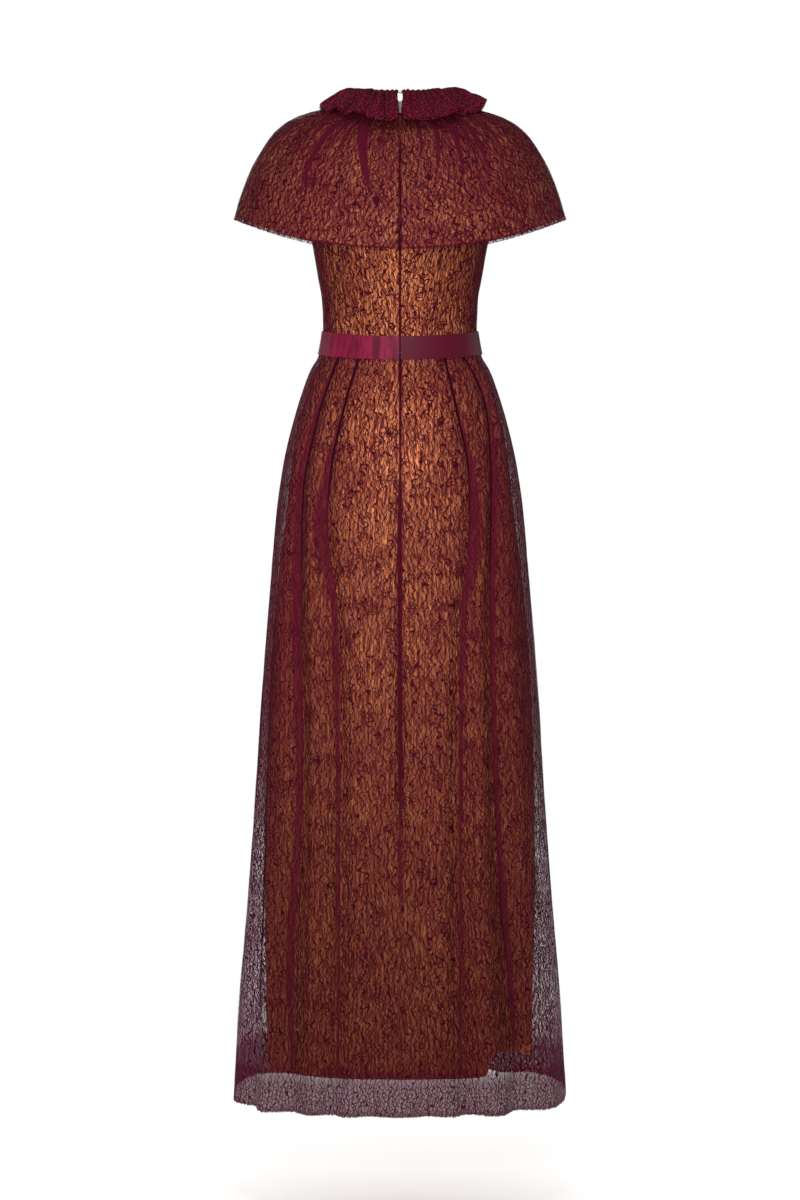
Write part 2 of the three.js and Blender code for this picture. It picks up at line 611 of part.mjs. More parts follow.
// Skirt: plain lining panels, and lace panels whose columns run down the folds
const SKIRT_PARTS = [
  { part: 'front', columns: 20, between: 6, folds: [
    'left_outer_front', 'left_inner_front', 'centre_front', 'right_inner_front', 'right_outer_front'] },
  { part: 'back_left', columns: 10, between: 5, folds: [
    'left_soft_back', 'left_inner_back', 'left_outer_back', 'left_edge_back'] },
  { part: 'back_right', columns: 10, between: 5, folds: [
    'right_outer_back', 'right_inner_back', 'right_soft_back'] },
];
function foldAngle(name, ring, height) {
  const fold = SKIRT_FOLDS.find((candidate) => candidate.name === name);
  const angle = angleOfX(ring, column(fold.rows, 'height', 'x', height), fold.side);
  return fold.side < 0 && angle < 0 ? angle + 360 : angle;
}
for (const { part, columns, between, folds } of SKIRT_PARTS) {
  const liningPlaces = (height) => spread(...panelEnds(part, ringAt(LINING_SKIRT, height)), columns);
  const lacePlaces = (height) => {
    const ring = ringAt(LACE_SKIRT, height);
    const [from, to] = panelEnds(part, ring);
    return through([from, ...folds.map((name) => foldAngle(name, ring, height)), to], between);
  };
  const lining = wall(wrapped(liningSkirt), liningPlaces, LINING_ROWS, LINING_WALL, -LINING_WALL);
  add(`skirt_lining_${part}`, lining, 'lining');
  const lace = wall(wrapped(laceSkirt), lacePlaces, SKIRT_ROWS, LACE_WALL, 0);
  add(`skirt_lace_${part}`, lace, 'lace');
}

// Capelet: one C-shaped piece of each cloth, open at the centre back, with a column on each gather
const CAPE_END = 0.15;
const COLUMNS_PER_GATHER = 2;
function capePlaces(share) {
  const crests = CAPE_GATHERS.map(({ top, foot }) => lerp(top, foot, share));
  const round = crests.map((angle) => THREE.MathUtils.euclideanModulo(angle, 360));
  round.sort((a, b) => a - b);
  return through([CAPE_END, ...round, 360 - CAPE_END], COLUMNS_PER_GATHER);
}
function capePiece(thickness, lift) {
  return wall(wrapped(capelet), capePlaces, CAPE_SHARES, thickness, lift, { upwards: -1 });
}
add('cape_lining', capePiece(LINING_WALL, 0), 'lining');
add('cape_lace', capePiece(LACE_WALL, LINING_WALL + LAYER_GAP), 'lace');

// Collar: its ends part below the hook and eye, and close again over the zip
const KEYHOLE = [
  { share: 0, half: 0.4 },
  { share: 0.5, half: 0.5 },
  { share: 0.72, half: 4 },
  { share: 0.9, half: 4 },
  { share: 1, half: 2.2 },
];
const STAND_COLUMNS = 26;
const STAND_SHARES = KEYHOLE.map((row) => row.share);
const standStart = (share) => degreesAt(column(KEYHOLE, 'share', 'half', share), NECK.half);
const standPlaces = (share) => spread(standStart(share), 360 - standStart(share), STAND_COLUMNS);
const stand = wall(wrapped(collarStand), standPlaces, STAND_SHARES, STAND_WALL, -STAND_WALL);
add('collar_stand', stand, 'frill');

const FRILL_ENDS = [
  { share: 0, half: 2.4 },
  { share: 0.2, half: 4.2 },
  { share: 0.45, half: 4 },
  { share: 0.75, half: 2.6 },
  { share: 1, half: 1.2 },
];
const COLUMNS_PER_WAVE = 6;
const FRILL_SHARES = [0, 0.25, 0.55, 1];
const frillStart = (share) => degreesAt(column(FRILL_ENDS, 'share', 'half', share), NECK.half);
const frillPlaces = (share) => spread(
  frillStart(share), 360 - frillStart(share), FRILL_WAVES * COLUMNS_PER_WAVE);
const frill = wall(wrapped(collarFrill), frillPlaces, FRILL_SHARES, FRILL_WALL, 0, { upwards: -1 });
add('collar_frill', frill, 'frill');

// Ribbon over the waist seam, from one side of the zip to the other
function ribbonSurface(angle, height) {
  return place(ringPoint(ringAt(RIBBON, height), angle), height + waistDip(angle, WAIST_SEAM));
}
const RIBBON_ROWS = RIBBON.map((row) => row.height);
const RIBBON_END = 0.35;
const RIBBON_COLUMNS = 40;
const ribbonPlaces = () => spread(RIBBON_END, 360 - RIBBON_END, RIBBON_COLUMNS);
add('waist_ribbon', wall(wrapped(ribbonSurface), ribbonPlaces, RIBBON_ROWS, RIBBON_WALL, 0), 'ribbon');

// Invisible zip: its tape lies inside the back, from below the seat to halfway up the collar stand
function backInside(x, height) {
  if (height > NECK.backHeight) {
    const share = (height - NECK.backHeight) / STAND.backRise;
    return collarStand(degreesAt(x, NECK.half), share);
  }
  if (height > UNDERARM) {
    const share = (height - UNDERARM) / (NECK.backHeight - UNDERARM);
    return bodiceUpper(degreesAt(x, column(ARMHOLE, 'share', 'half', share)), share);
  }
  const ring = ringAt(height > WAIST_SEAM ? BODICE : LINING_SKIRT, height);
  return place(ringPoint(ring, angleOfX(ring, x, 1)), height + waistDip(0, height));
}
const ZIP_ROWS = [
  911, 950, 1000, 1040, 1075, 1097, 1115, 1150, 1190, 1228, 1262, 1292, 1326, 1370, 1414, 1447, 1462];
const TAPE_COLUMNS = 4;
const tapePlaces = () => spread(-ZIP_TAPE_HALF, ZIP_TAPE_HALF, TAPE_COLUMNS);
const TAPE_LIFT = -STAND_WALL - 2 * LAYER_GAP - ZIP_TAPE_WALL;
add('zip_tape', wall(backInside, tapePlaces, ZIP_ROWS, ZIP_TAPE_WALL, TAPE_LIFT), 'zip');

// A closed geometry as a solid for joining and cutting, and back again
function toManifold(geometry) {
  const bare = geometry.clone();
  for (const name of ['normal', 'uv']) if (bare.getAttribute(name)) bare.deleteAttribute(name);
  const merged = mergeVertices(bare, 1e-4);
  return new wasm.Manifold(new wasm.Mesh({
    numProp: 3,
    vertProperties: new Float32Array(merged.attributes.position.array),
    triVerts: new Uint32Array(merged.index.array),
  }));
}
function toGeometry(manifold) {
  const mesh = manifold.getMesh();
  const geometry = new THREE.BufferGeometry();
  geometry.setAttribute('position', new THREE.BufferAttribute(mesh.vertProperties, 3));
  geometry.setIndex(new THREE.BufferAttribute(mesh.triVerts, 1));
  geometry.computeVertexNormals();
  return geometry;
}
const block = (x, y, z, centre) => new THREE.BoxGeometry(x, y, z).translate(...centre);

// Slider: a plate with a bridge that the pull hangs from
function sliderGeometry() {
  const outer = SLIDER.plate + BRIDGE.opening + BRIDGE.bar;
  const plate = block(SLIDER.width, SLIDER.plate, SLIDER.length, [0, SLIDER.plate / 2, 0]);
  const bridgeIn = SLIDER.plate / 2;
  const bridge = block(BRIDGE.width, outer - bridgeIn, BRIDGE.half * 2, [0, (outer + bridgeIn) / 2, 0]);
  const openingHeight = (BRIDGE.half - BRIDGE.bar) * 2;
  const openingOut = SLIDER.plate + BRIDGE.opening / 2;
  const opening = block(BRIDGE.width * 2, BRIDGE.opening, openingHeight, [0, openingOut, 0]);
  return toGeometry(toManifold(plate).add(toManifold(bridge)).subtract(toManifold(opening)));
}
const sliderMesh = add('zip_slider', sliderGeometry(), 'zip');
sliderMesh.position.set(0, SLIDER.y, SLIDER.height - SHOULDER_HEIGHT);

// Pull: a flat tab whose slot goes round the bridge. It hangs from the bar at its top.
function pullGeometry() {
  const half = PULL.width / 2;
  const tab = new THREE.Shape();
  tab.moveTo(-half, PULL.thick / 2);
  tab.lineTo(-half, half - PULL.length);
  tab.absarc(0, half - PULL.length, half, Math.PI, 2 * Math.PI, false);
  tab.lineTo(half, PULL.thick / 2);
  const slot = new THREE.Path();
  slot.moveTo(-PULL.slotHalf, -PULL.thick / 2);
  slot.lineTo(PULL.slotHalf, -PULL.thick / 2);
  slot.lineTo(PULL.slotHalf, -PULL.slotEnd);
  slot.lineTo(-PULL.slotHalf, -PULL.slotEnd);
  slot.closePath();
  tab.holes.push(slot);
  const flat = new THREE.ExtrudeGeometry(tab, { depth: PULL.thick, bevelEnabled: false, curveSegments: 5 });
  return flat.translate(0, 0, -PULL.thick / 2).rotateX(Math.PI / 2);
}
const hingeOut = SLIDER.plate + BRIDGE.opening / 2;
const pullMesh = add('zip_pull', pullGeometry(), 'zip');
pullMesh.position.set(0, SLIDER.y + hingeOut, SLIDER.height - SHOULDER_HEIGHT);

// Wire fastenings: a hook that passes through a ring at the collar, and a bar on the ribbon
const WIRE_SIDES = 4;
const HOOK_STEPS = 14;
const BAR_STEPS = 8;
function wire(points, steps) {
  const places = points.map((xyz) => new THREE.Vector3(...xyz));
  const curve = new THREE.CatmullRomCurve3(places, false, 'centripetal');
  const section = new THREE.Shape().absarc(0, 0, HOOK_WIRE, 0, 2 * Math.PI, false);
  return new THREE.ExtrudeGeometry(
    section, { steps, curveSegments: WIRE_SIDES, extrudePath: curve, bevelEnabled: false });
}
const COLLAR_HOOK = { x: -1.2, y: 48.6, height: 1483.2, leg: 0.9, tail: 6, tip: 1.8, ring: 1.9 };
const hookMesh = add('collar_hook', wire([
  [COLLAR_HOOK.tail, COLLAR_HOOK.leg, 0], [COLLAR_HOOK.tail * 0.4, COLLAR_HOOK.leg, 0],
  [-0.2, COLLAR_HOOK.leg, 0], [-1, 0, 0], [-0.2, -COLLAR_HOOK.leg, 0], [COLLAR_HOOK.tip, -COLLAR_HOOK.leg, 0],
], HOOK_STEPS), 'zip');
const eye = new THREE.TorusGeometry(COLLAR_HOOK.ring, HOOK_WIRE, 6, HOOK_STEPS).rotateX(Math.PI / 2);
const eyeMesh = add('collar_eye', eye, 'zip');
for (const mesh of [hookMesh, eyeMesh]) {
  mesh.position.set(COLLAR_HOOK.x, COLLAR_HOOK.y, COLLAR_HOOK.height - SHOULDER_HEIGHT);
}
const RIBBON_BAR = { half: 3, middle: 1, rise: 0.35, out: 0.9, height: 1108 };
const barMesh = add('ribbon_hook', wire([
  [-RIBBON_BAR.half, 0, 0], [-RIBBON_BAR.middle, RIBBON_BAR.rise, 0],
  [RIBBON_BAR.middle, RIBBON_BAR.rise, 0], [RIBBON_BAR.half, 0, 0],
], BAR_STEPS), 'zip');
const ribbonBack = column(RIBBON, 'height', 'back', RIBBON_BAR.height + WAIST_DIP);
barMesh.position.set(0, ribbonBack + RIBBON_WALL + RIBBON_BAR.out, RIBBON_BAR.height - SHOULDER_HEIGHT);

export default gown;
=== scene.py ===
# The look of an A-line evening gown: vein-patterned lace over a copper satin lining, a gathered
# capelet, a frilled collar and a satin ribbon. It is seen from the back, where it closes.
import math
import bpy
import numpy as np
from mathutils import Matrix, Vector


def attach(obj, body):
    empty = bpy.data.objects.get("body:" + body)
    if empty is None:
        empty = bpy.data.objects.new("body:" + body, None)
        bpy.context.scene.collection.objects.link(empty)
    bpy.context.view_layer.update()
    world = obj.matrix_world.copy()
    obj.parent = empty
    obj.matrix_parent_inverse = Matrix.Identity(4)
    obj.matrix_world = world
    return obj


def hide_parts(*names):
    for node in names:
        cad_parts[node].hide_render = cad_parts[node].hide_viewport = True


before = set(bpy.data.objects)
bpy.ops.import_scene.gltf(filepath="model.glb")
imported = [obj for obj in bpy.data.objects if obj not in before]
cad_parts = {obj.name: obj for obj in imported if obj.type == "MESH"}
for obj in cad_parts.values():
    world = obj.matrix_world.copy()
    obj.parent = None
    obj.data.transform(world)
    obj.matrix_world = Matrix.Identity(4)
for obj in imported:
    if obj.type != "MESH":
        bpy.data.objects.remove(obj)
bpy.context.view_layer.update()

# Sizes in millimetres. Heights in the tables are above the lace hem.
MM = 0.001
SHOULDER_HEIGHT = 1445
UNDERARM = 1292
WAIST_SEAM = 1115
HIGH_HIP = 1043
LINING_HEM = 47
WAIST_DIP = 5
UPPER_SPAN = 150
CHEST_BULGE = 46
LINING_CLEARANCE = 1.4
LINING_THICK = 0.7
LACE_THICK = 0.6
LACE_LIFT = 0.5
SEAM_GAP = 0.3
CREASE_SHADOW_HALF = 2.2

# Shares: how far a fold's lips stand out of its depth, and the cape lining's length of the lace's
FOLD_LIFT = 0.3
CAPE_LINING_SHARE = 0.982

# How dense doubled lace looks, how much denser it is at the centre back, where it reaches into the painted
# shade colour, and the painted shade at the bodice's sides
DOUBLE_DENSE = 0.52
CENTRE_DOUBLE = 1.35
BODICE_SIDE_SHADE = 0.4

# Where the cape and the ribbon end beside the centre back, in degrees
CAPE_END = 0.12
RIBBON_END = 0.35

# Rings: height, half the width, depth to the front, depth to the back, squareness
LACE_SKIRT = np.array([
    (1115, 114.5, 88, 82, 2.1), (1097, 119.5, 92, 87, 2.1), (1080, 130, 97, 94, 2.15),
    (1043, 144, 104, 105, 2.2), (1000, 157, 109, 115, 2.25), (950, 168.5, 113, 123, 2.3),
    (880, 179, 118, 130, 2.35), (780, 188.5, 123, 136, 2.4), (640, 200, 130, 144, 2.5),
    (480, 211, 137, 152, 2.6), (320, 223, 145, 160, 2.7), (160, 237, 152, 168, 2.8),
    (47, 244.5, 157, 171, 2.8), (0, 247.5, 159, 172, 2.8)])
LINING_SKIRT = np.array([
    (1115, 112, 85.5, 79.5, 2.1), (1097, 116.5, 89, 84, 2.1), (1080, 126.5, 93, 90, 2.15),
    (1043, 139.5, 98, 99, 2.2), (1000, 150.5, 101, 106, 2.25), (950, 159, 103, 111, 2.3),
    (880, 167, 105, 115, 2.3), (780, 180, 107, 118, 2.3), (640, 193, 110, 121, 2.35),
    (480, 200, 113, 124, 2.4), (320, 203, 116, 127, 2.45), (160, 201, 119, 130, 2.5),
    (47, 199, 121, 132, 2.5)])
BODICE = np.array([
    (1115, 112, 85.5, 79.5, 2.1), (1140, 111.5, 88, 81, 2.1), (1180, 113, 95, 86, 2.1),
    (1220, 119.5, 112, 92, 2.15), (1262, 127, 133, 98, 2.2), (1292, 134, 137, 100, 2.2)])
RIBBON = np.array([
    (1137, 114.2, 90.4, 83.6, 2.1), (1120, 116.9, 91, 85, 2.1), (1103, 120.2, 93.2, 88, 2.1)])

# The half width at the armhole edge, by share of the way from the underarm to the shoulder
ARMHOLE = np.array([(0, 134), (0.22, 124), (0.5, 124), (0.78, 133), (1, 146)])
NECK_HALF, NECK_FRONT, NECK_BACK = 66, 70, 56
NECK_SIDE_HEIGHT, NECK_FRONT_HEIGHT, NECK_BACK_HEIGHT = 1462, 1428, 1448
SHOULDER_TIP_HEIGHT = 1439
SHOULDER_SEAM_HALF = 0.8

# The capelet's edge at the side, the back and the front: share of the way down, distance out, height
CAPE_SIDE = np.array([
    (0, 68, 1463.7), (0.25, 127, 1453), (0.38, 155, 1443), (0.5, 178, 1428),
    (0.62, 199, 1402), (0.8, 223, 1356), (1, 242, 1299)])
CAPE_BACK = np.array([
    (0, 58, 1449.7), (0.25, 99, 1420), (0.5, 124, 1368), (0.75, 141, 1312), (1, 151, 1257)])
CAPE_FRONT = np.array([
    (0, 72, 1429.7), (0.25, 112, 1396), (0.5, 142, 1350), (0.75, 158, 1300), (1, 163, 1250)])

# Gathers of the capelet: angle at the neck and at the hem, height, width at the hem, reach
CAPE_GATHERS = [
    (14, 9, 2.2, 7, 0.5), (27, 17, 5, 9, 0.72), (41, 29, 3.6, 8, 0.6), (56, 43, 4.6, 9, 0.8),
    (73, 62, 3.8, 9, 0.7), (90, 84, 3, 9, 0.6), (108, 106, 4, 9, 0.75), (126, 130, 3.4, 8, 0.6),
    (143, 149, 4.4, 9, 0.8), (160, 166, 3.2, 8, 0.65), (177, 178, 3.8, 8, 0.7), (-11, -7, 2, 7, 0.5),
    (-24, -17, 3.4, 8, 0.6), (-37, -28, 4.4, 8, 0.75), (-52, -41, 3.8, 9, 0.7), (-68, -57, 4, 9, 0.65),
    (-86, -80, 3.2, 9, 0.7), (-104, -103, 3.6, 9, 0.6), (-122, -126, 4.2, 9, 0.8),
    (-140, -146, 3.2, 8, 0.65), (-158, -164, 4, 8, 0.7)]

# Dark pleats where the gathered cloth lies double, with painted shade: angle near the neck, angle lower
# down, half width in degrees near the neck, how far down they reach, and how dense and shaded they are
CAPE_PLEATS = [
    (57, 51, 2.6, 0.66, 0.9), (43.5, 41, 3.0, 0.84, 1.0), (31.5, 29.5, 2.2, 0.6, 0.8),
    (24, 12, 4.4, 0.72, 1.0), (37, 35, 1.6, 0.55, 0.9), (11, 8, 1.4, 0.5, 0.8), (70, 66, 2.0, 0.5, 0.8),
    (-12, -8, 1.5, 0.5, 0.9), (-41, -33, 1.6, 0.6, 0.9), (51, 46, 1.6, 0.6, 0.9),
    (-23, -14, 2.4, 0.62, 0.9), (-34, -26, 2.6, 0.66, 1.0), (-46, -39, 2.6, 0.7, 1.0),
    (-58, -50, 2.2, 0.62, 0.9), (-66, -62, 2.0, 0.58, 0.8), (-29, -21, 1.4, 0.5, 0.7),
    (-80, -78, 2.0, 0.5, 0.7), (88, 85, 2.2, 0.55, 0.8), (103, 102, 2.4, 0.6, 0.8),
    (118, 121, 2.0, 0.55, 0.7), (133, 138, 2.6, 0.7, 0.9), (150, 157, 2.2, 0.6, 0.8),
    (168, 172, 2.4, 0.66, 0.9), (-97, -96, 2.2, 0.6, 0.8), (-113, -115, 2.4, 0.65, 0.8),
    (-131, -136, 2.2, 0.6, 0.9), (-149, -155, 2.4, 0.66, 0.8), (-166, -171, 2.2, 0.6, 0.8)]

# Folds of the lace skirt. Each row: height, x of the valley, depth, half width of the valley, how dark
# the painted shadow in its crease is, and the width of the cloth that lies double beside it. Side 1 is the
# back.
SKIRT_FOLDS = {
    "centre_back": (1, [
        (1115, 0, 0, 7, 1.0, 0), (1000, 0, 1, 7, 1.0, 1), (940, 0, 3, 7, 0.9, 4), (860, 0, 7, 7, 0.7, 8),
        (500, 0, 9, 8, 0.7, 8), (380, 0, 3, 8, 0.6, 5), (310, 0, 0, 8, 0.4, 1), (280, 0, 0, 8, 0.32, 0),
        (0, 0, 0, 12, 0.45, 0)]),
    "left_outer_back": (1, [
        (1115, 84, 1, 7, 1.0, 3), (1068, 103, 3, 8, 1.0, 6), (1000, 125, 5, 10, 1.0, 9),
        (907, 145, 8, 12, 1.0, 13), (745, 151, 12, 16, 0.6, 13), (480, 148, 15, 19, 0.35, 12),
        (213, 162, 17, 23, 0.3, 12), (60, 161, 18, 25, 0.2, 6), (0, 160, 19, 26, 0.2, 4)]),
    "left_inner_back": (1, [
        (1115, 57, 0.5, 6, 1.0, 1), (1018, 84, 3, 8, 1.0, 5), (935, 102, 5, 9, 0.9, 11),
        (860, 108, 8, 11, 0.7, 18), (720, 93, 11, 14, 0.5, 10), (480, 90, 13, 16, 0.5, 7),
        (60, 91, 16, 20, 0.6, 4), (0, 106, 17, 21, 0.7, 3)]),
    "right_inner_back": (1, [
        (1115, -62, 0.5, 6, 1.0, 1), (1018, -84, 3, 8, 1.0, 5), (935, -101, 5, 9, 0.9, 10),
        (860, -104, 8, 11, 0.7, 15), (720, -90, 11, 14, 0.5, 9), (480, -88, 13, 16, 0.5, 6),
        (60, -89, 16, 20, 0.6, 4), (0, -105, 17, 21, 0.7, 3)]),
    "right_outer_back": (1, [
        (1115, -86, 1, 7, 1.0, 3), (1055, -118, 4, 8, 1.0, 5), (1002, -132, 6, 10, 1.0, 8),
        (907, -137, 9, 12, 1.0, 11), (745, -136, 12, 16, 0.7, 9), (467, -145, 15, 19, 0.6, 7),
        (300, -154, 16, 21, 0.8, 11), (197, -166, 17, 23, 0.7, 9), (60, -176, 18, 25, 0.4, 3),
        (0, -178, 18, 25, 0.3, 2)]),
    "left_soft_back": (1, [
        (1115, 20, 0, 12, 0, 0), (480, 26, 0, 14, 0, 0), (380, 32, 2, 16, 0.25, 0),
        (250, 40, 5, 18, 0.3, 0), (0, 50, 9, 20, 0.1, 0)]),
    "right_soft_back": (1, [
        (1115, -20, 0, 12, 0, 0), (480, -26, 0, 14, 0, 0), (380, -32, 2, 16, 0.25, 0),
        (250, -40, 5, 18, 0.3, 0), (0, -47, 8, 20, 0.1, 0)]),
    "left_edge_back": (1, [
        (1115, 108, 0, 10, 0, 4), (900, 172, 2, 12, 0.3, 12), (640, 190, 5, 14, 0.3, 14),
        (480, 202, 8, 16, 0.5, 11), (400, 205, 9, 17, 0.9, 2), (180, 212, 12, 19, 0.8, 1),
        (100, 214, 13, 20, 0.2, 0), (0, 222, 15, 22, 0, 0)]),
    "left_outer_front": (-1, [
        (1115, 80, 1, 7, 1.0, 3), (1000, 122, 5, 10, 0.9, 8), (900, 139, 7, 12, 0.9, 12),
        (640, 146, 11, 17, 0.6, 12), (320, 157, 15, 21, 0.4, 11), (0, 172, 18, 25, 0.3, 5)]),
    "left_inner_front": (-1, [
        (1115, 46, 1, 6, 0.9, 2), (1000, 70, 4, 9, 0.9, 6), (880, 84, 7, 11, 0.8, 13),
        (640, 84, 11, 15, 0.5, 8), (320, 92, 14, 19, 0.5, 6), (0, 101, 17, 22, 0.5, 3)]),
    "centre_front": (-1, [
        (1115, 6, 0, 10, 0, 0), (700, 8, 3, 12, 0.2, 3), (400, 12, 9, 17, 0.4, 6),
        (0, 18, 15, 22, 0.4, 4)]),
    "right_inner_front": (-1, [
        (1115, -49, 1, 6, 0.9, 2), (1000, -74, 4, 9, 0.9, 6), (880, -80, 7, 11, 0.8, 12),
        (640, -76, 10, 15, 0.5, 8), (320, -80, 13, 18, 0.5, 6), (0, -84, 16, 21, 0.5, 3)]),
    "right_outer_front": (-1, [
        (1115, -84, 1, 7, 1.0, 3), (1000, -125, 5, 10, 0.9, 8), (900, -135, 8, 12, 0.9, 11),
        (640, -142, 12, 17, 0.5, 10), (320, -150, 15, 21, 0.5, 9), (0, -159, 17, 24, 0.4, 4)]),
}
SKIRT_PANELS = {
    "front": ["left_outer_front", "left_inner_front", "centre_front", "right_inner_front",
              "right_outer_front"],
    "back_left": ["left_soft_back", "left_inner_back", "left_outer_back", "left_edge_back"],
    "back_right": ["right_outer_back", "right_inner_back", "right_soft_back"],
}

# The collar frill's edge round the neck, where it waves and folds under: root angle, x, y, height
FRILL_EDGE = np.array([
    (0, 1.5, 101, 1446), (8, 8, 105, 1441.5), (16, 22, 107, 1440.5), (26, 42, 106, 1443),
    (35, 55, 98, 1452), (43, 71, 92, 1453.5), (50, 80, 82, 1449), (58, 92, 66, 1460),
    (66, 101, 52, 1455), (76, 113, 30, 1457.5), (86, 116, 8, 1468), (96, 117, -16, 1462),
    (108, 112, -42, 1452), (120, 108, -64, 1464), (132, 96, -86, 1447), (144, 76, -100, 1441),
    (156, 52, -118, 1424), (168, 26, -122, 1432), (180, 4, -127, 1420),
    (192, -22, -122, 1431), (204, -50, -117, 1423), (216, -74, -102, 1440), (228, -94, -88, 1434),
    (240, -106, -66, 1453), (252, -114, -44, 1444), (262, -121, -20, 1462), (272, -127, 6, 1473.5),
    (282, -118, 33, 1457), (292, -100, 56, 1453), (300, -80, 68, 1451), (309, -91, 92, 1460),
    (321, -66, 102, 1447), (336, -38, 107, 1441.5), (350, -12, 105, 1442.5), (360, -3, 101, 1445)])
# Creases of the frill: angle at its root, slant to its edge, depth, and where each starts and ends
FRILL_CREASES = [
    (20, -4, 0.9, 0.25, 0.95), (33, 3, 0.5, 0.1, 0.7), (47, 6, 0.9, 0.35, 1.0), (62, 2, 0.7, 0.2, 0.9),
    (80, -3, 0.8, 0.3, 1.0), (99, 4, 0.7, 0.2, 0.9), (115, -5, 0.9, 0.3, 1.0), (137, 4, 0.8, 0.2, 1.0),
    (154, -3, 0.7, 0.3, 0.9), (171, 5, 0.9, 0.2, 1.0), (188, -4, 0.7, 0.3, 0.9), (207, 3, 0.9, 0.2, 1.0),
    (226, -4, 0.8, 0.3, 1.0), (243, 3, 0.7, 0.2, 0.9), (262, -5, 0.8, 0.3, 1.0), (281, -14, 0.7, 0.1, 0.8),
    (296, -16, 0.9, 0.05, 0.9), (314, -8, 0.5, 0.1, 0.6), (330, -3, 0.4, 0.3, 0.9), (345, 2, 0.5, 0.1, 0.7)]
STAND_BACK_RISE, STAND_SIDE_RISE, STAND_FRONT_RISE, STAND_GAP = 36, 24, 26, 1.9
STAND_LEAN = 4.4
STAND_THICK = 1.2
FRILL_THICK = 1.0
FRILL_CROWN = 9
KEYHOLE = np.array([(0, 0.4), (0.5, 0.5), (0.72, 4), (0.9, 4), (1, 2.2)])
FRILL_ENDS = np.array([(0, 2.4), (0.2, 4.2), (0.45, 4), (0.75, 2.6), (1, 1.2)])


# Surfaces
def column(table, number, at):
    """A smooth value of one column of a table, at keys between its rows."""
    table = np.asarray(table, dtype=float)
    if table[0, 0] > table[-1, 0]:
        table = table[::-1]
    keys = table[:, 0]
    values = table[:, number]
    slopes = np.diff(values) / np.diff(keys)
    before = slopes[:-1]
    after = slopes[1:]
    total = before + after
    mean = np.where(before * after > 0, 2 * before * after / np.where(total == 0, 1, total), 0)
    tangents = np.concatenate([slopes[:1], mean, slopes[-1:]])
    at = np.asarray(at, dtype=float)
    i = np.clip(np.searchsorted(keys, at, side="right") - 1, 0, len(keys) - 2)
    span = keys[i + 1] - keys[i]
    t = np.clip((at - keys[i]) / span, 0, 1)
    t2 = t * t
    t3 = t2 * t
    return ((2 * t3 - 3 * t2 + 1) * values[i] + (t3 - 2 * t2 + t) * span * tangents[i]
            + (3 * t2 - 2 * t3) * values[i + 1] + (t3 - t2) * span * tangents[i + 1])


def lerp(a, b, t):
    return a + (b - a) * t


def smoothstep(a, b, x):
    t = np.clip((x - a) / (b - a), 0, 1)
    return t * t * (3 - 2 * t)


def bell(away, power=2):
    """1 at 0 and falling to nothing on both sides, more steeply with a higher power."""
    return np.exp(-(away ** power))


def turn(angle):
    """Sine and cosine of an angle in degrees."""
    return np.sin(np.radians(angle)), np.cos(np.radians(angle))


def ring_at(table, height):
    return [column(table, k, height) for k in (1, 2, 3, 4)]


def ring_point(ring, angle):
    side, front, back, square = ring
    s, c = turn(angle)
    power = 2 / square
    depth = np.where(c > 0, back, front)
    return np.sign(s) * np.abs(s) ** power * side, np.sign(c) * np.abs(c) ** power * depth


def angle_of_x(ring, x, side):
    share = np.minimum(1, np.abs(x) / ring[0]) ** (ring[3] / 2)
    angle = np.degrees(np.arcsin(share)) * np.sign(x)
    return angle if side > 0 else np.where(np.asarray(x) < 0, -180, 180) - angle


def waist_dip(angle, height):
    near = bell((height - WAIST_SEAM) / 60)
    return -WAIST_DIP * near * np.maximum(0, turn(angle)[1]) ** 2


def points(x, y, height):
    x, y, height = np.broadcast_arrays(x, y, height)
    return np.stack([x, y, height - SHOULDER_HEIGHT], axis=-1)


def lining_skirt(angle, height):
    x, y = ring_point(ring_at(LINING_SKIRT, height), angle)
    return points(x, y, height + waist_dip(angle, height))


def fold_parts(ring, x, y, height):
    """How far the lace stands off its ring, how dark the painted shadow in its creases is, and where it lies
    double.
    """
    offset = np.zeros(np.shape(x))
    crease_shadow = np.zeros(np.shape(x))
    double = np.zeros(np.shape(x))
    for name, (side, rows) in SKIRT_FOLDS.items():
        valley = column(rows, 1, height)
        valley_x, valley_y = ring_point(ring, angle_of_x(ring, valley, side))
        distance = np.hypot(valley_x - x, valley_y - y)
        away = distance / column(rows, 3, height)
        offset = offset + column(rows, 2, height) * (FOLD_LIFT * bell(away - 1.9) - bell(away))
        # Painted shadow: a thin near-black line along each fold's crease.
        crease_shadow = np.maximum(crease_shadow, column(rows, 4, height) * bell(distance / CREASE_SHADOW_HALF, 4))
        beside = distance * np.where(np.abs(x) > np.abs(valley_x), 1, -1)
        width = column(rows, 5, height)
        if name.startswith("centre"):
            beside = distance + width / 2
        strip = smoothstep(-1.2, 0.6, beside) * smoothstep(width + 1.4, width - 1.0, beside)
        weight = CENTRE_DOUBLE if name == "centre_back" else 1
        double = np.maximum(double, weight * strip * np.clip(width / 2, 0, 1))
    return offset, crease_shadow, double


def lace_skirt(angle, height):
    ring = ring_at(LACE_SKIRT, height)
    x, y = ring_point(ring, angle)
    ahead = ring_point(ring, angle + 1)
    behind = ring_point(ring, angle - 1)
    out_x = -(ahead[1] - behind[1])
    out_y = ahead[0] - behind[0]
    length = np.hypot(out_x, out_y)
    offset, _, _ = fold_parts(ring, x, y, height)
    x = x + out_x / length * offset
    y = y + out_y / length * offset
    core = ring_at(LINING_SKIRT, np.maximum(height, LINING_HEM))
    half_depth = np.where(y > 0, core[2], core[1]) + LINING_CLEARANCE
    reach = (np.abs(x / (core[0] + LINING_CLEARANCE)) ** core[3]
             + np.abs(y / half_depth) ** core[3]) ** (1 / core[3])
    scale = np.where(reach < 1, 1 / np.maximum(reach, 1e-6), 1)
    return points(x * scale, y * scale, height + waist_dip(angle, height))


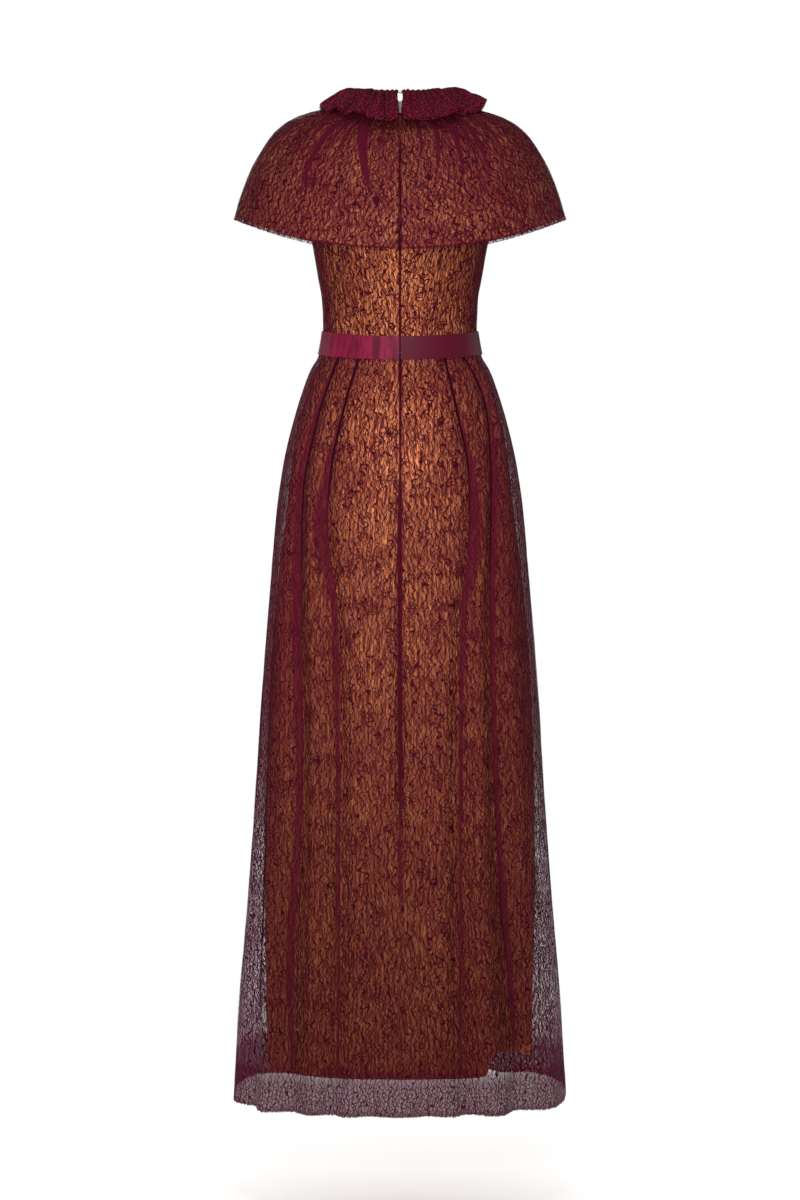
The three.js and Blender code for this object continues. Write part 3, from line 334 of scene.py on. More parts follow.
def neck_point(angle, grow=0.0):
    s, c = turn(angle)
    depth = np.where(c > 0, NECK_BACK, NECK_FRONT)
    end = np.where(c > 0, NECK_BACK_HEIGHT, NECK_FRONT_HEIGHT)
    return points((NECK_HALF + grow) * s, (depth + grow) * c, lerp(end, NECK_SIDE_HEIGHT, s * s))


def bodice(angle, way):
    """Rings up to the underarm, then each column runs on to the shoulder seam or the neck seam."""
    angle, way = np.broadcast_arrays(angle, way)
    wrapped = np.where(angle > 180, angle - 360, angle)
    low_x, low_y = ring_point(ring_at(BODICE, np.minimum(way, UNDERARM)), wrapped)
    low = points(low_x, low_y, np.minimum(way, UNDERARM) + waist_dip(wrapped, way))
    share = np.clip((way - UNDERARM) / UPPER_SPAN, 0, 1)
    front = np.abs(wrapped) > 90
    s, _ = turn(wrapped)
    ring = ring_at(BODICE, np.full(np.shape(way), float(UNDERARM)))
    start_y = ring_point(ring, wrapped)[1]
    tip_x = ARMHOLE[-1, 1] * s
    neck_angle = np.degrees(np.arcsin(np.clip(tip_x / NECK_HALF, -1, 1)))
    neck = neck_point(np.where(front, 180 - neck_angle, neck_angle))
    t = (np.abs(tip_x) - NECK_HALF) / (ARMHOLE[-1, 1] - NECK_HALF)
    tip = points(tip_x, np.where(front, -SHOULDER_SEAM_HALF, SHOULDER_SEAM_HALF),
                 lerp(NECK_SIDE_HEIGHT, SHOULDER_TIP_HEIGHT, t))
    top = np.where((np.abs(tip_x) < NECK_HALF)[..., None], neck, tip)
    over = smoothstep(NECK_HALF * 0.55, NECK_HALF * 1.25, np.abs(top[..., 0]))
    round_over = 1 - np.sqrt(np.maximum(0, 1 - share ** 2.4))
    lean = lerp(share ** 1.5, round_over, over)
    bulge = CHEST_BULGE * np.sin(np.pi * share) * np.abs(s) ** 5 * np.where(front, -1, 1)
    power = lerp(2 / ring[3], 1, share)
    x = np.sign(s) * np.abs(s) ** power * column(ARMHOLE, 1, share)
    high = np.stack([x, lerp(start_y, top[..., 1], lean) + bulge,
                     lerp(UNDERARM, top[..., 2] + SHOULDER_HEIGHT, share) - SHOULDER_HEIGHT], axis=-1)
    return np.where((way > UNDERARM)[..., None], high, low)


def capelet(angle, share):
    s, c = turn(angle)
    rise = np.zeros(np.broadcast(angle, share).shape)
    for top, foot, height, width, reach in CAPE_GATHERS:
        away = (angle - lerp(top, foot, share) + 180) % 360 - 180
        fade = np.maximum(0, 1 - (share / reach) ** 2) * 0.85 + 0.15
        rise = rise + height * fade * np.minimum(1, share / 0.12) * bell(away / (width * 0.55))
    back = c > 0
    out = np.where(back, column(CAPE_BACK, 1, share), column(CAPE_FRONT, 1, share))
    end = np.where(back, column(CAPE_BACK, 2, share), column(CAPE_FRONT, 2, share))
    x = (column(CAPE_SIDE, 1, share) + rise) * np.sign(s) * np.abs(s) ** 0.94
    y = (out + rise) * np.sign(c) * np.abs(c) ** 0.94
    return points(x, y, lerp(end, column(CAPE_SIDE, 2, share), s * s))


def stand_top(angle):
    c = turn(angle)[1]
    return lerp(STAND_SIDE_RISE, np.where(c > 0, STAND_BACK_RISE, STAND_FRONT_RISE), c * c)


def collar_stand(angle, share):
    foot = neck_point(angle, -STAND_LEAN * share)
    foot[..., 2] += lerp(STAND_GAP, stand_top(angle), share)
    return foot


def collar_frill(angle, share):
    """The frill rises a little from the stand's top, then falls outwards to its waved edge."""
    root = neck_point(angle, -STAND_LEAN)
    root[..., 2] += stand_top(angle) + 0.4
    edge = points(*[column(FRILL_EDGE, k, angle) for k in (1, 2, 3)])
    arch = FRILL_CROWN * np.sin(np.pi * share ** 0.7)
    made = lerp(root, edge, np.asarray(share)[..., None])
    made[..., 2] += arch
    return made


def ribbon(angle, height):
    x, y = ring_point(ring_at(RIBBON, height), angle)
    return points(x, y, height + waist_dip(angle, WAIST_SEAM))


# Soft random relief
def noise(u, v, cell_u, cell_v, seed):
    """Smooth random values from -1 to 1, in cells of the given width and height."""
    count = 97
    table = np.random.default_rng(seed).uniform(-1, 1, (count, count))
    x = u / cell_u
    y = v / cell_v
    i = np.floor(x).astype(int)
    j = np.floor(y).astype(int)
    fx = (x - i) ** 2 * (3 - 2 * (x - i))
    fy = (y - j) ** 2 * (3 - 2 * (y - j))
    low = lerp(table[j % count, i % count], table[j % count, (i + 1) % count], fx)
    high = lerp(table[(j + 1) % count, i % count], table[(j + 1) % count, (i + 1) % count], fx)
    return lerp(low, high, fy)


# Pieces
def lengths(made, axis):
    """Distances along a grid of points, summed from its first row or column."""
    steps = np.linalg.norm(np.diff(made, axis=axis), axis=-1)
    pad = [(1, 0), (0, 0)] if axis == 0 else [(0, 0), (1, 0)]
    return np.cumsum(np.pad(steps, pad), axis=axis)


def outward(made):
    """Outward normals of a grid of points whose rows run downwards."""
    across = np.gradient(made, axis=1)
    down = np.gradient(made, axis=0)
    out = np.cross(across, down)
    return out / np.maximum(np.linalg.norm(out, axis=-1, keepdims=True), 1e-9)


def crowded(count):
    """Shares from 0 to 1 in count steps that are shorter near both ends."""
    even = np.linspace(0, 1, count + 1)
    return lerp(even, (1 - np.cos(np.pi * even)) / 2, 0.75)


def spread_columns(stops, total):
    """Angles through the given stops on each row. The steps between two stops go by their widest gap."""
    gaps = np.max(np.abs(np.diff(stops, axis=1)), axis=0)
    counts = np.maximum(3, np.round(total * gaps / gaps.sum())).astype(int)
    parts = [lerp(stops[:, k:k + 1], stops[:, k + 1:k + 2], crowded(count)[:-1])
             for k, count in enumerate(counts)]
    return np.concatenate(parts + [stops[:, -1:]], axis=1)


def cloth(name, made, thick, lift, relief=None, dense_and_shade=None, grain=0.5, even=False, alone=None):
    """A closed thin shell. made is a grid of points in millimetres on the cloth's form, from its top row
    down. lift is how far the shell's inner face stands off that form, and relief(u, v) adds creases to it.
    grain is the share across at which the cloth's threads hang straight. Even cloth is gathered instead,
    with the same length of thread in each row. alone is 1 where nothing lies behind a lace."""
    rows, columns = made.shape[:2]
    u = lengths(made, 1)
    if even:
        u = u * (u[:, -1:].mean() / u[:, -1:])
    u = u - u[:, round(grain * (columns - 1))][:, None]
    v = lengths(made, 0)
    out = outward(made)
    if relief is not None:
        made = made + out * relief(u, v)[..., None]
        out = outward(made)
    made = made + out * (lift + thick)
    bpy.ops.object.select_all(action="DESELECT")
    bpy.ops.mesh.primitive_grid_add(x_subdivisions=columns - 1, y_subdivisions=rows - 1, size=1)
    piece = bpy.context.object
    piece.name = name
    mesh = piece.data
    mesh.name = name
    mesh.vertices.foreach_set("co", (made * MM).astype(np.float32).ravel())
    corner = np.zeros(len(mesh.loops), dtype=np.int32)
    mesh.loops.foreach_get("vertex_index", corner)
    flat = np.stack([u.ravel(), -v.ravel()], axis=-1) * MM
    mesh.uv_layers[0].data.foreach_set("uv", flat[corner].astype(np.float32).ravel())
    none = np.zeros((rows, columns))
    # The cloth's density, with painted shade mixed in, goes to the materials as a point attribute.
    values = {"dense_and_shade": none if dense_and_shade is None else dense_and_shade, "alone": none if alone is None else alone,
              "above_edge": (v[-1:, :] - v) * MM}
    for label, value in values.items():
        made_values = mesh.attributes.new(label, "FLOAT", "POINT")
        made_values.data.foreach_set("value", value.ravel().astype(np.float32))
    mesh.update()
    wall = piece.modifiers.new("thickness", "SOLIDIFY")
    wall.thickness = thick * MM
    wall.offset = -1
    bpy.ops.object.modifier_apply(modifier=wall.name)
    bpy.ops.object.shade_smooth_by_angle(angle=math.radians(60))
    return piece


def finish_piece(piece, material, node, body="gown"):
    piece.data.materials.clear()
    piece.data.materials.append(material)
    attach(piece, body)
    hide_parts(node)


# Materials
def linear(text):
    """A colour from sRGB hex to linear light."""
    parts = [int(text[k:k + 2], 16) / 255 for k in (1, 3, 5)]
    return tuple(p / 12.92 if p <= 0.04045 else ((p + 0.055) / 1.055) ** 2.4 for p in parts) + (1.0,)


def add_node(tree, kind, settings=None, inputs=None):
    """Adds a node, sets its properties, and sets or links its inputs."""
    made = tree.nodes.new(kind)
    for name, value in (settings or {}).items():
        setattr(made, name, value)
    for key, value in (inputs or {}).items():
        if isinstance(value, bpy.types.NodeSocket):
            tree.links.new(value, made.inputs[key])
        else:
            made.inputs[key].default_value = value
    return made


def new_material(name):
    made = bpy.data.materials.new(name)
    made.use_nodes = True
    made.node_tree.nodes.clear()
    return made, made.node_tree


def surface(tree, inputs):
    """Ends a material with a principled shader that has the given inputs."""
    shader = add_node(tree, "ShaderNodeBsdfPrincipled", None, inputs)
    add_node(tree, "ShaderNodeOutputMaterial", None, {"Surface": shader.outputs[0]})


def maths(tree, operation, a, b, clamp=False):
    settings = {"operation": operation, "use_clamp": clamp}
    return add_node(tree, "ShaderNodeMath", settings, {0: a, 1: b}).outputs[0]


def times(tree, a, b):
    return maths(tree, "MULTIPLY", a, b)


def greatest(tree, value, *others):
    for other in others:
        value = maths(tree, "MAXIMUM", value, other)
    return value


def blend(tree, share, a, b):
    made = add_node(tree, "ShaderNodeMix", {"data_type": "RGBA"}, {0: share, 6: a, 7: b})
    return made.outputs[2]


def ramp_range(tree, value, low, high, to_low=0.0, to_high=1.0):
    made = add_node(tree, "ShaderNodeMapRange", {"interpolation_type": "SMOOTHSTEP"}, {
        "Value": value, "From Min": low, "From Max": high, "To Min": to_low, "To Max": to_high})
    return made.outputs[0]


def attribute(tree, name):
    return add_node(tree, "ShaderNodeAttribute", {"attribute_name": name}).outputs["Fac"]


def flat_place(tree):
    """Places on the cloth laid flat, in metres."""
    return add_node(tree, "ShaderNodeUVMap", {"uv_map": "UVMap"}).outputs[0]


def object_place(tree):
    return add_node(tree, "ShaderNodeTexCoord").outputs["Object"]


def vectors(tree, operation, *inputs):
    settings = {"operation": operation}
    return add_node(tree, "ShaderNodeVectorMath", settings, dict(enumerate(inputs))).outputs[0]


def scaled(tree, flat, across, down):
    """Places multiplied by one number across the cloth and by another one down it."""
    return vectors(tree, "MULTIPLY", flat, (across, down, 1))


def noise_field(tree, at, scale, detail, roughness, output="Fac", dimensions="2D"):
    """Smooth random values from 0 to 1, or colours."""
    return add_node(tree, "ShaderNodeTexNoise", {"noise_dimensions": dimensions}, {
        "Vector": at, "Scale": scale, "Detail": detail, "Roughness": roughness}).outputs[output]


def bumped(tree, height, strength, distance):
    """Normals of a fine relief. distance is how high it stands where height is 1, in metres."""
    return add_node(tree, "ShaderNodeBump", None, {
        "Strength": strength, "Distance": distance, "Height": height}).outputs[0]


def warped(tree, flat, scale, amount):
    """Flat cloth coordinates pushed about by noise, so that threads wander."""
    wander = noise_field(tree, flat, scale, 1.5, 0.5, output="Color")
    middle = vectors(tree, "SUBTRACT", wander, (0.5, 0.5, 0.5))
    return vectors(tree, "MULTIPLY_ADD", middle, (amount, amount, 0), flat)


def moved(tree, flat, far):
    """Moves a pattern far along itself, so that it meets another one by chance only."""
    return vectors(tree, "ADD", flat, (far, far * 3, 0))


def veins(tree, flat, width, height, thin, thick):
    """Lines along the borders of random long cells: 1 on a line and 0 between the lines."""
    settings = {"voronoi_dimensions": "2D", "feature": "DISTANCE_TO_EDGE"}
    cells = add_node(tree, "ShaderNodeTexVoronoi", settings, {
        "Vector": scaled(tree, flat, 1 / width, 1 / height), "Scale": 1.0, "Randomness": 1.0})
    return ramp_range(tree, cells.outputs["Distance"], thin, thick, 1.0, 0.0)


def strands(tree, flat, period, sway, across, down, thin, thick):
    """Thin lines that wander down the cloth and cross each other: 1 on a line and 0 between the lines.
    period is their distance and sway how far a stretched noise moves them sideways, both in metres."""
    drift = noise_field(tree, scaled(tree, flat, across, down), 1.0, 1.5, 0.45)
    along = add_node(tree, "ShaderNodeSeparateXYZ", None, {0: flat}).outputs[0]
    place = maths(tree, "ADD", times(tree, along, 1 / period), times(tree, drift, sway / period))
    return ramp_range(tree, maths(tree, "PINGPONG", place, 0.5), thin, thick, 1.0, 0.0)


def lace_material(name, haze, ragged):
    """Corded vein lace: burgundy cords that wander down a fine crinkled net. haze is how closed the net
    is, and ragged how high the points of its hem are cut, in metres."""
    made, tree = new_material(name)
    flat = flat_place(tree)
    broad = strands(tree, warped(tree, flat, 190, 0.0022), 0.0098, 0.023, 50, 64, 0.035, 0.11)
    fine = strands(tree, moved(tree, flat, 0.9), 0.0066, 0.0145, 80, 118, 0.035, 0.14)
    hatch = strands(tree, flat, 0.0033, 0.007, 120, 70, 0.02, 0.3)
    cluster = noise_field(tree, flat, 44, 1, 0.4)
    small = veins(tree, warped(tree, flat, 110, 0.004), 0.0045, 0.0068, 0.03, 0.17)
    diamonds = times(tree, small, ramp_range(tree, cluster, 0.54, 0.64, 0.0, 0.85))
    thread = times(tree, hatch, ramp_range(tree, cluster, 0.4, 0.56, 0.5, 0.15))
    alone = attribute(tree, "alone")
    cords = greatest(tree, fine, broad, diamonds, thread, times(tree, small, alone))
    cloud = noise_field(tree, scaled(tree, warped(tree, flat, 120, 0.003), 620, 95), 1.0, 2, 0.6)
    patch = noise_field(tree, flat, 14, 2, 0.5)
    net = times(tree, ramp_range(tree, cloud, 0.3, 0.7, haze * 0.5, haze * 1.5),
                ramp_range(tree, patch, 0.3, 0.7, 0.8, 1.2))
    dense_and_shade = attribute(tree, "dense_and_shade")
    closed = maths(tree, "MULTIPLY", dense_and_shade, 1.15, clamp=True)
    alpha = greatest(tree, times(tree, cords, 0.96), net, closed)
    if ragged:
        tips = ramp_range(tree, cloud, 0.35, 0.65, 0.0, ragged)
        alpha = times(tree, alpha, maths(tree, "GREATER_THAN", attribute(tree, "above_edge"), tips))
    # Over the lining the lace's colours are painted darker, as painted shade from the lining; where nothing
    # lies behind it they are lighter and mauve.
    between = blend(tree, alone, linear("#660e28"), linear("#8a4470"))
    lines = blend(tree, alone, linear("#360414"), linear("#600c2e"))
    body = blend(tree, cords, between, lines)
    # Doubled lace turns darker burgundy, and from 0.64 up the colour goes near black: painted shade in
    # creases, pleats, along the closure and under the lining's hem.
    folded_and_shaded = blend(tree, ramp_range(tree, dense_and_shade, 0.35, 0.6, 0.0, 0.8), body, linear("#500a20"))
    colour = blend(tree, ramp_range(tree, dense_and_shade, 0.64, 0.88), folded_and_shaded, linear("#100105"))
    surface(tree, {
        "Base Color": colour, "Roughness": 0.85, "Specular IOR Level": 0.06, "Alpha": alpha,
        "Normal": bumped(tree, cords, 0.7, 0.0007)})
    return made


def satin_material(name, light, deep, roughness, streak, crinkle, metallic, gloss):
    """Satin: a smooth face with fine creases, and soft lengthwise streaks of painted sheen between its light
    and deep colours.
    """
    made, tree = new_material(name)
    sheen_streaks = noise_field(tree, scaled(tree, flat_place(tree), streak, streak * 0.14), 1.0, 3, 0.6)
    colour = blend(tree, ramp_range(tree, sheen_streaks, 0.3, 0.7), linear(deep), linear(light))
    # Painted shade: the cloth's density-and-shade attribute darkens the satin to its deep colour.
    shade = blend(tree, attribute(tree, "dense_and_shade"), colour, linear(deep))
    surface(tree, {
        "Base Color": shade, "Roughness": roughness, "Specular IOR Level": gloss, "Metallic": metallic,
        "Normal": bumped(tree, sheen_streaks, crinkle, 0.0012)})
    return made


def frill_material():
    """Dense crinkled lace, two layers thick: almost closed, with small holes near its edge."""
    made, tree = new_material("crinkled_frill_lace")
    flat = flat_place(tree)
    cords = veins(tree, warped(tree, flat, 160, 0.004), 0.0026, 0.0052, 0.04, 0.3)
    closed = ramp_range(tree, attribute(tree, "above_edge"), 0.0, 0.008, 0.35, 1.0)
    crinkle = noise_field(tree, flat, 380, 2, 0.7)
    threads = blend(tree, cords, linear("#5e0a22"), linear("#b41e46"))
    uneven = blend(tree, ramp_range(tree, crinkle, 0.4, 0.64, 0.0, 0.7), linear("#2a040e"), threads)
    # Painted shade: the frill goes near black in the troughs of its ribs and along its creases.
    colour = blend(tree, attribute(tree, "dense_and_shade"), uneven, linear("#160106"))
    surface(tree, {
        "Base Color": colour, "Roughness": 0.85, "Specular IOR Level": 0.1,
        "Alpha": greatest(tree, cords, closed),
        "Normal": bumped(tree, maths(tree, "ADD", cords, crinkle), 1.0, 0.0014)})
    return made


def metal_material():
    """Zip metal with a thin coat of mauve-grey paint, slightly worn and dull."""
    made, tree = new_material("painted_zip_metal")
    wear = noise_field(tree, object_place(tree), 900, 3, 0.6, dimensions="3D")
    colour = blend(tree, ramp_range(tree, wear, 0.35, 0.7), linear("#3a2a32"), linear("#6e5662"))
    surface(tree, {"Base Color": colour, "Metallic": 0.25, "Roughness": 0.45})
    return made


def tape_material():
    """Woven polyester zip tape."""
    made, tree = new_material("woven_zip_tape")
    weave = noise_field(tree, object_place(tree), 1400, 2, 0.6, dimensions="3D")
    colour = blend(tree, weave, linear("#3d0a18"), linear("#5c1a2a"))
    surface(tree, {"Base Color": colour, "Roughness": 0.8})
    return made


skirt_lace = lace_material("vein_lace_skirt", 0.27, 0.0022)
upper_lace = lace_material("vein_lace_bodice", 0.2, 0.0)
cape_lace = lace_material("vein_lace_cape", 0.34, 0.0012)
# Each satin's streaks are painted sheen, from its deep colour up to its light one.
lining_satin = satin_material("copper_satin_lining", "#ffa264", "#9c4a20", 0.4, 300, 0.8, 0.38, 0.25)
# The cape lining is a darker copy of the copper satin: painted shade.
cape_satin_shaded = satin_material("copper_satin_cape_lining_shaded", "#d88a5a", "#924c2a", 0.5, 300, 0.5, 0.3, 0.2)
ribbon_satin = satin_material("burgundy_satin_ribbon", "#7c1436", "#4c0a20", 0.55, 90, 0.1, 0.0, 0.1)
frill_lace = frill_material()
painted_metal = metal_material()
zip_weave = tape_material()


# Bodice
def way_steps(stops, spacing):
    """Values from the first stop to the last one, evenly spaced between each two."""
    parts = []
    for start, end in zip(stops, stops[1:]):
        count = max(1, round(abs(end - start) / spacing))
        parts.append(np.linspace(start, end, count, endpoint=False))
    return np.concatenate(parts + [np.array(stops[-1:], dtype=float)])


def panel_ends(part, ring):
    """The two end angles of a panel on each row."""
    back_end = angle_of_x(ring, np.full(np.shape(ring[0]), SEAM_GAP / 2), 1)
    side_back = np.degrees(np.arcsin((SEAM_GAP / 2 / ring[2]) ** (ring[3] / 2)))
    side_front = np.degrees(np.arcsin((SEAM_GAP / 2 / ring[1]) ** (ring[3] / 2)))
    if part == "front":
        return 90 + side_front, 270 - side_front
    if part == "back_left":
        return back_end, 90 - side_back
    return side_back - 90, -back_end


# Cloth this near a seam, in metres, is drawn up to it
SEAM_REACH, SEAM_CLOSED = 0.00028, 0.00002


def close_seam(piece, axis, side):
    """Brings the cloth's edges near the plane 0 of one axis up to that plane, on their own side of it."""
    place = np.zeros(len(piece.data.vertices) * 3, dtype=np.float32)
    piece.data.vertices.foreach_get("co", place)
    away = place[axis::3] * side
    place[axis::3] = np.where(away < SEAM_REACH, SEAM_CLOSED, away) * side
    piece.data.vertices.foreach_set("co", place)


def bodice_relief(u, v):
    """Fine crinkles of the lace, outwards only."""
    return 0.35 + 0.3 * noise(u, v, 7, 24, 11) + 0.15 * noise(u, v, 3.5, 9, 12)


def bodice_pieces():
    ways = way_steps([UNDERARM + UPPER_SPAN, UNDERARM, WAIST_SEAM + SEAM_GAP], 4)
    for part in ("front", "back_left", "back_right"):
        rings = ring_at(BODICE, np.minimum(ways, UNDERARM))
        start, end = panel_ends(part, rings)
        count = 110 if part == "front" else 56
        angles = lerp(start[:, None], end[:, None], crowded(count))
        grid = bodice(angles, ways[:, None])
        # Painted shade: a dark line along the closure at the centre back, and darker sides.
        closure_shade = bell(grid[..., 0] / 1.6) * (grid[..., 1] > 0)
        wide = np.abs(grid[..., 0]) / np.max(np.abs(grid[..., 0]), axis=1, keepdims=True)
        dense_and_shade = np.maximum(closure_shade, BODICE_SIDE_SHADE * smoothstep(0.74, 0.97, wide))
        lining = cloth(f"bodice_lining_cloth_{part}", grid, LINING_THICK, -LINING_THICK)
        finish_piece(lining, lining_satin, f"bodice_lining_{part}")
        lace = cloth(f"bodice_lace_cloth_{part}", grid, LACE_THICK, LACE_LIFT, bodice_relief, dense_and_shade)
        finish_piece(lace, upper_lace, f"bodice_lace_{part}")
        for piece in (lining, lace):
            close_seam(piece, 1, -1 if part == "front" else 1)


# Skirt: the length of each layer, for the folds that grow towards its hem
LACE_LENGTH = 1150
LINING_LENGTH = WAIST_SEAM - LINING_HEM


def lace_relief(u, v):
    """Crinkles of the lace, and soft waves that grow towards its hem."""
    low = np.clip(v / LACE_LENGTH, 0, 1)
    fine = 0.35 * noise(u, v, 6, 30, 21) + 0.7 * noise(u, v, 17, 110, 22) * (0.4 + low)
    return 0.9 + fine + 2.4 * low ** 1.5 * noise(u, v, 55, 420, 23)


def lining_relief(u, v):
    """Soft folds of the hanging lining, inwards only."""
    low = np.clip(v / LINING_LENGTH, 0, 1)
    return -low * (2.5 + 1.8 * noise(u, v, 45, 500, 31) + 0.7 * noise(u, v, 20, 200, 32))


# Where the back lining's hem is caught up at its right: how high, from which x, and over what height
FOLD_UP, FOLD_FROM, FOLD_OVER = 34, 134, 260

# How dense the lace looks at the skirt's sides, with painted shade, gathered at their edges, near its hem,
# with the lining's painted shadow, and on the hem's edge; the painted shadow at the middle of the lining's
# hem; and how much of it beside the lining counts as alone
SIDE_DENSE_AND_SHADE, GATHER_DENSE, HEM_DENSE_AND_SHADOW, EDGE_DENSE, LINING_HEM_SHADOW = 0.3, 0.46, 0.55, 0.12, 0.56
BESIDE_ALONE = 0.4


def skirt_density(part, share, x, heights):
    """The lace's density at the sides and hems, apart from its folds, with painted shade at the sides and
    painted shadow under the lining's hem. share is x by half the width.
    """
    sides = smoothstep(0.48, 0.9, share) * smoothstep(300, 620, heights)
    if part == "back_right":
        sides = sides * (1 - smoothstep(0.88, 0.93, share) * smoothstep(925, 890, heights))
    gather = GATHER_DENSE * smoothstep(0.84, 0.995, share) * smoothstep(200, 600, heights)
    hem = HEM_DENSE_AND_SHADOW * smoothstep(86, 52, heights) + EDGE_DENSE * smoothstep(9, 2, heights)
    # Painted shadow under the middle of the lining's hem.
    band = bell((heights - LINING_HEM + 3) / 9, 4) * smoothstep(64, 50, np.abs(x + 2))
    return np.maximum.reduce([SIDE_DENSE_AND_SHADE * sides, gather, hem, LINING_HEM_SHADOW * band])


def skirt_alone(x, rows):
    """Where nothing lies behind the lace: below the lining, and in part beside it."""
    heights = rows[:, None]
    half = ring_at(LINING_SKIRT, np.maximum(rows, LINING_HEM))[0][:, None]
    below = smoothstep(LINING_HEM + 16, LINING_HEM - 4, heights)
    beside = smoothstep(0, 16, np.abs(x) - half) * smoothstep(560, 160, heights)
    return np.maximum(below, BESIDE_ALONE * beside)


def skirt_pieces():
    lace_rows = way_steps([WAIST_SEAM - SEAM_GAP, HIGH_HIP, 0], 5.6)
    lining_rows = way_steps([WAIST_SEAM - SEAM_GAP, HIGH_HIP, LINING_HEM], 8)
    for part, folds in SKIRT_PANELS.items():
        count = 168 if part == "front" else 86
        start, end = panel_ends(part, ring_at(LINING_SKIRT, lining_rows))
        angles = lerp(start[:, None], end[:, None], np.linspace(0, 1, count // 2 + 1))
        heights = lining_rows[:, None]
        if part == "back_right":
            lining_x = lining_skirt(angles, heights)[..., 0]
            folded_up = FOLD_UP * smoothstep(-FOLD_FROM + 3, -FOLD_FROM - 3, lining_x)
            heights = heights + folded_up * np.clip(1 - (heights - LINING_HEM) / FOLD_OVER, 0, 1)
        lining = cloth(f"skirt_lining_cloth_{part}", lining_skirt(angles, heights), LINING_THICK,
                       -LINING_THICK, lining_relief)
        finish_piece(lining, lining_satin, f"skirt_lining_{part}")
        ring = ring_at(LACE_SKIRT, lace_rows)
        start, end = panel_ends(part, ring)
        stops = [start]
        for fold in folds:
            side, rows = SKIRT_FOLDS[fold]
            angle = angle_of_x(ring, column(rows, 1, lace_rows), side)
            stops.append(np.where(angle < 0, angle + 360, angle) if side < 0 else angle)
        angles = spread_columns(np.stack(stops + [end], axis=1), count)
        heights = lace_rows[:, None] + 0 * angles
        wide = [value[:, None] for value in ring]
        x, y = ring_point(wide, angles)
        _, crease_shadow, double = fold_parts(wide, x, y, heights)
        dense_and_shade = np.maximum.reduce([
            crease_shadow, DOUBLE_DENSE * double, skirt_density(part, np.abs(x) / wide[0], x, heights)])
        grain = {"front": 0.5, "back_left": 0, "back_right": 1}[part]
        lace = cloth(f"skirt_lace_cloth_{part}", lace_skirt(angles, heights), LACE_THICK, 0, lace_relief,
                     dense_and_shade, grain, alone=skirt_alone(x, lace_rows))
        for piece in (lining, lace):
            close_seam(piece, 1, -1 if part == "front" else 1)
        if part != "front":
            close_seam(lace, 0, 1 if part == "back_left" else -1)
        finish_piece(lace, skirt_lace, f"skirt_lace_{part}")


# Capelet
def cape_shape(angles, shares):
    """Pleats of the gathered cape: how high they stand, and the density of the doubled cloth, with painted
    shade in the pleats.
    """
    rise = np.zeros(np.broadcast(angles, shares).shape)
    dense_and_shade = np.zeros(rise.shape)
    for top, foot, half, reach, depth in CAPE_PLEATS:
        centre = lerp(top, foot, np.clip((shares - 0.2) / 0.4, -0.5, 1.6))
        away = (angles - centre + 180) % 360 - 180
        narrow = half * np.clip(1.15 - shares / reach, 0.12, 1)
        fade = smoothstep(reach * 1.15, reach * 0.7, shares)
        rise = rise + 1.6 * depth * fade * bell(away / narrow)
        dense_and_shade = np.maximum(dense_and_shade, 0.66 * depth * fade * bell(away / narrow, 6))
    ruffle = smoothstep(0.42, 0.05, shares)
    rise = rise + 0.8 * ruffle * np.cos(np.radians(angles) * 84 + 2 * np.sin(np.radians(angles) * 5))
    return rise, dense_and_shade


def cape_pieces():
    shares = np.linspace(0, 1, 80)
    angles = lerp(CAPE_END, 360 - CAPE_END, np.linspace(0, 1, 481))[None, :] + 0 * shares[:, None]
    grid = capelet(angles, shares[:, None])
    rise, dense_and_shade = cape_shape(angles, shares[:, None])
    # Painted shade: a dark line along the gap at the centre back.
    gap_shade = bell(grid[..., 0] / 1.8) * (grid[..., 1] > 0)
    edge = smoothstep(0.985, 1.0, shares)[:, None]
    inner = capelet(angles[:, ::2], shares[:, None] * CAPE_LINING_SHARE)
    lining = cloth("cape_lining_cloth", inner, LINING_THICK, 0)
    finish_piece(lining, cape_satin_shaded, "cape_lining")
    lace = cloth("cape_lace_cloth", grid, LACE_THICK, 1.2,
                 lambda u, v: rise + 0.5 + 0.4 * noise(u, v, 8, 26, 41) + 0.2 * noise(u, v, 4, 9, 42),
                 np.maximum(np.maximum(dense_and_shade, gap_shade), 0.55 * edge), even=True)
    finish_piece(lace, cape_lace, "cape_lace")


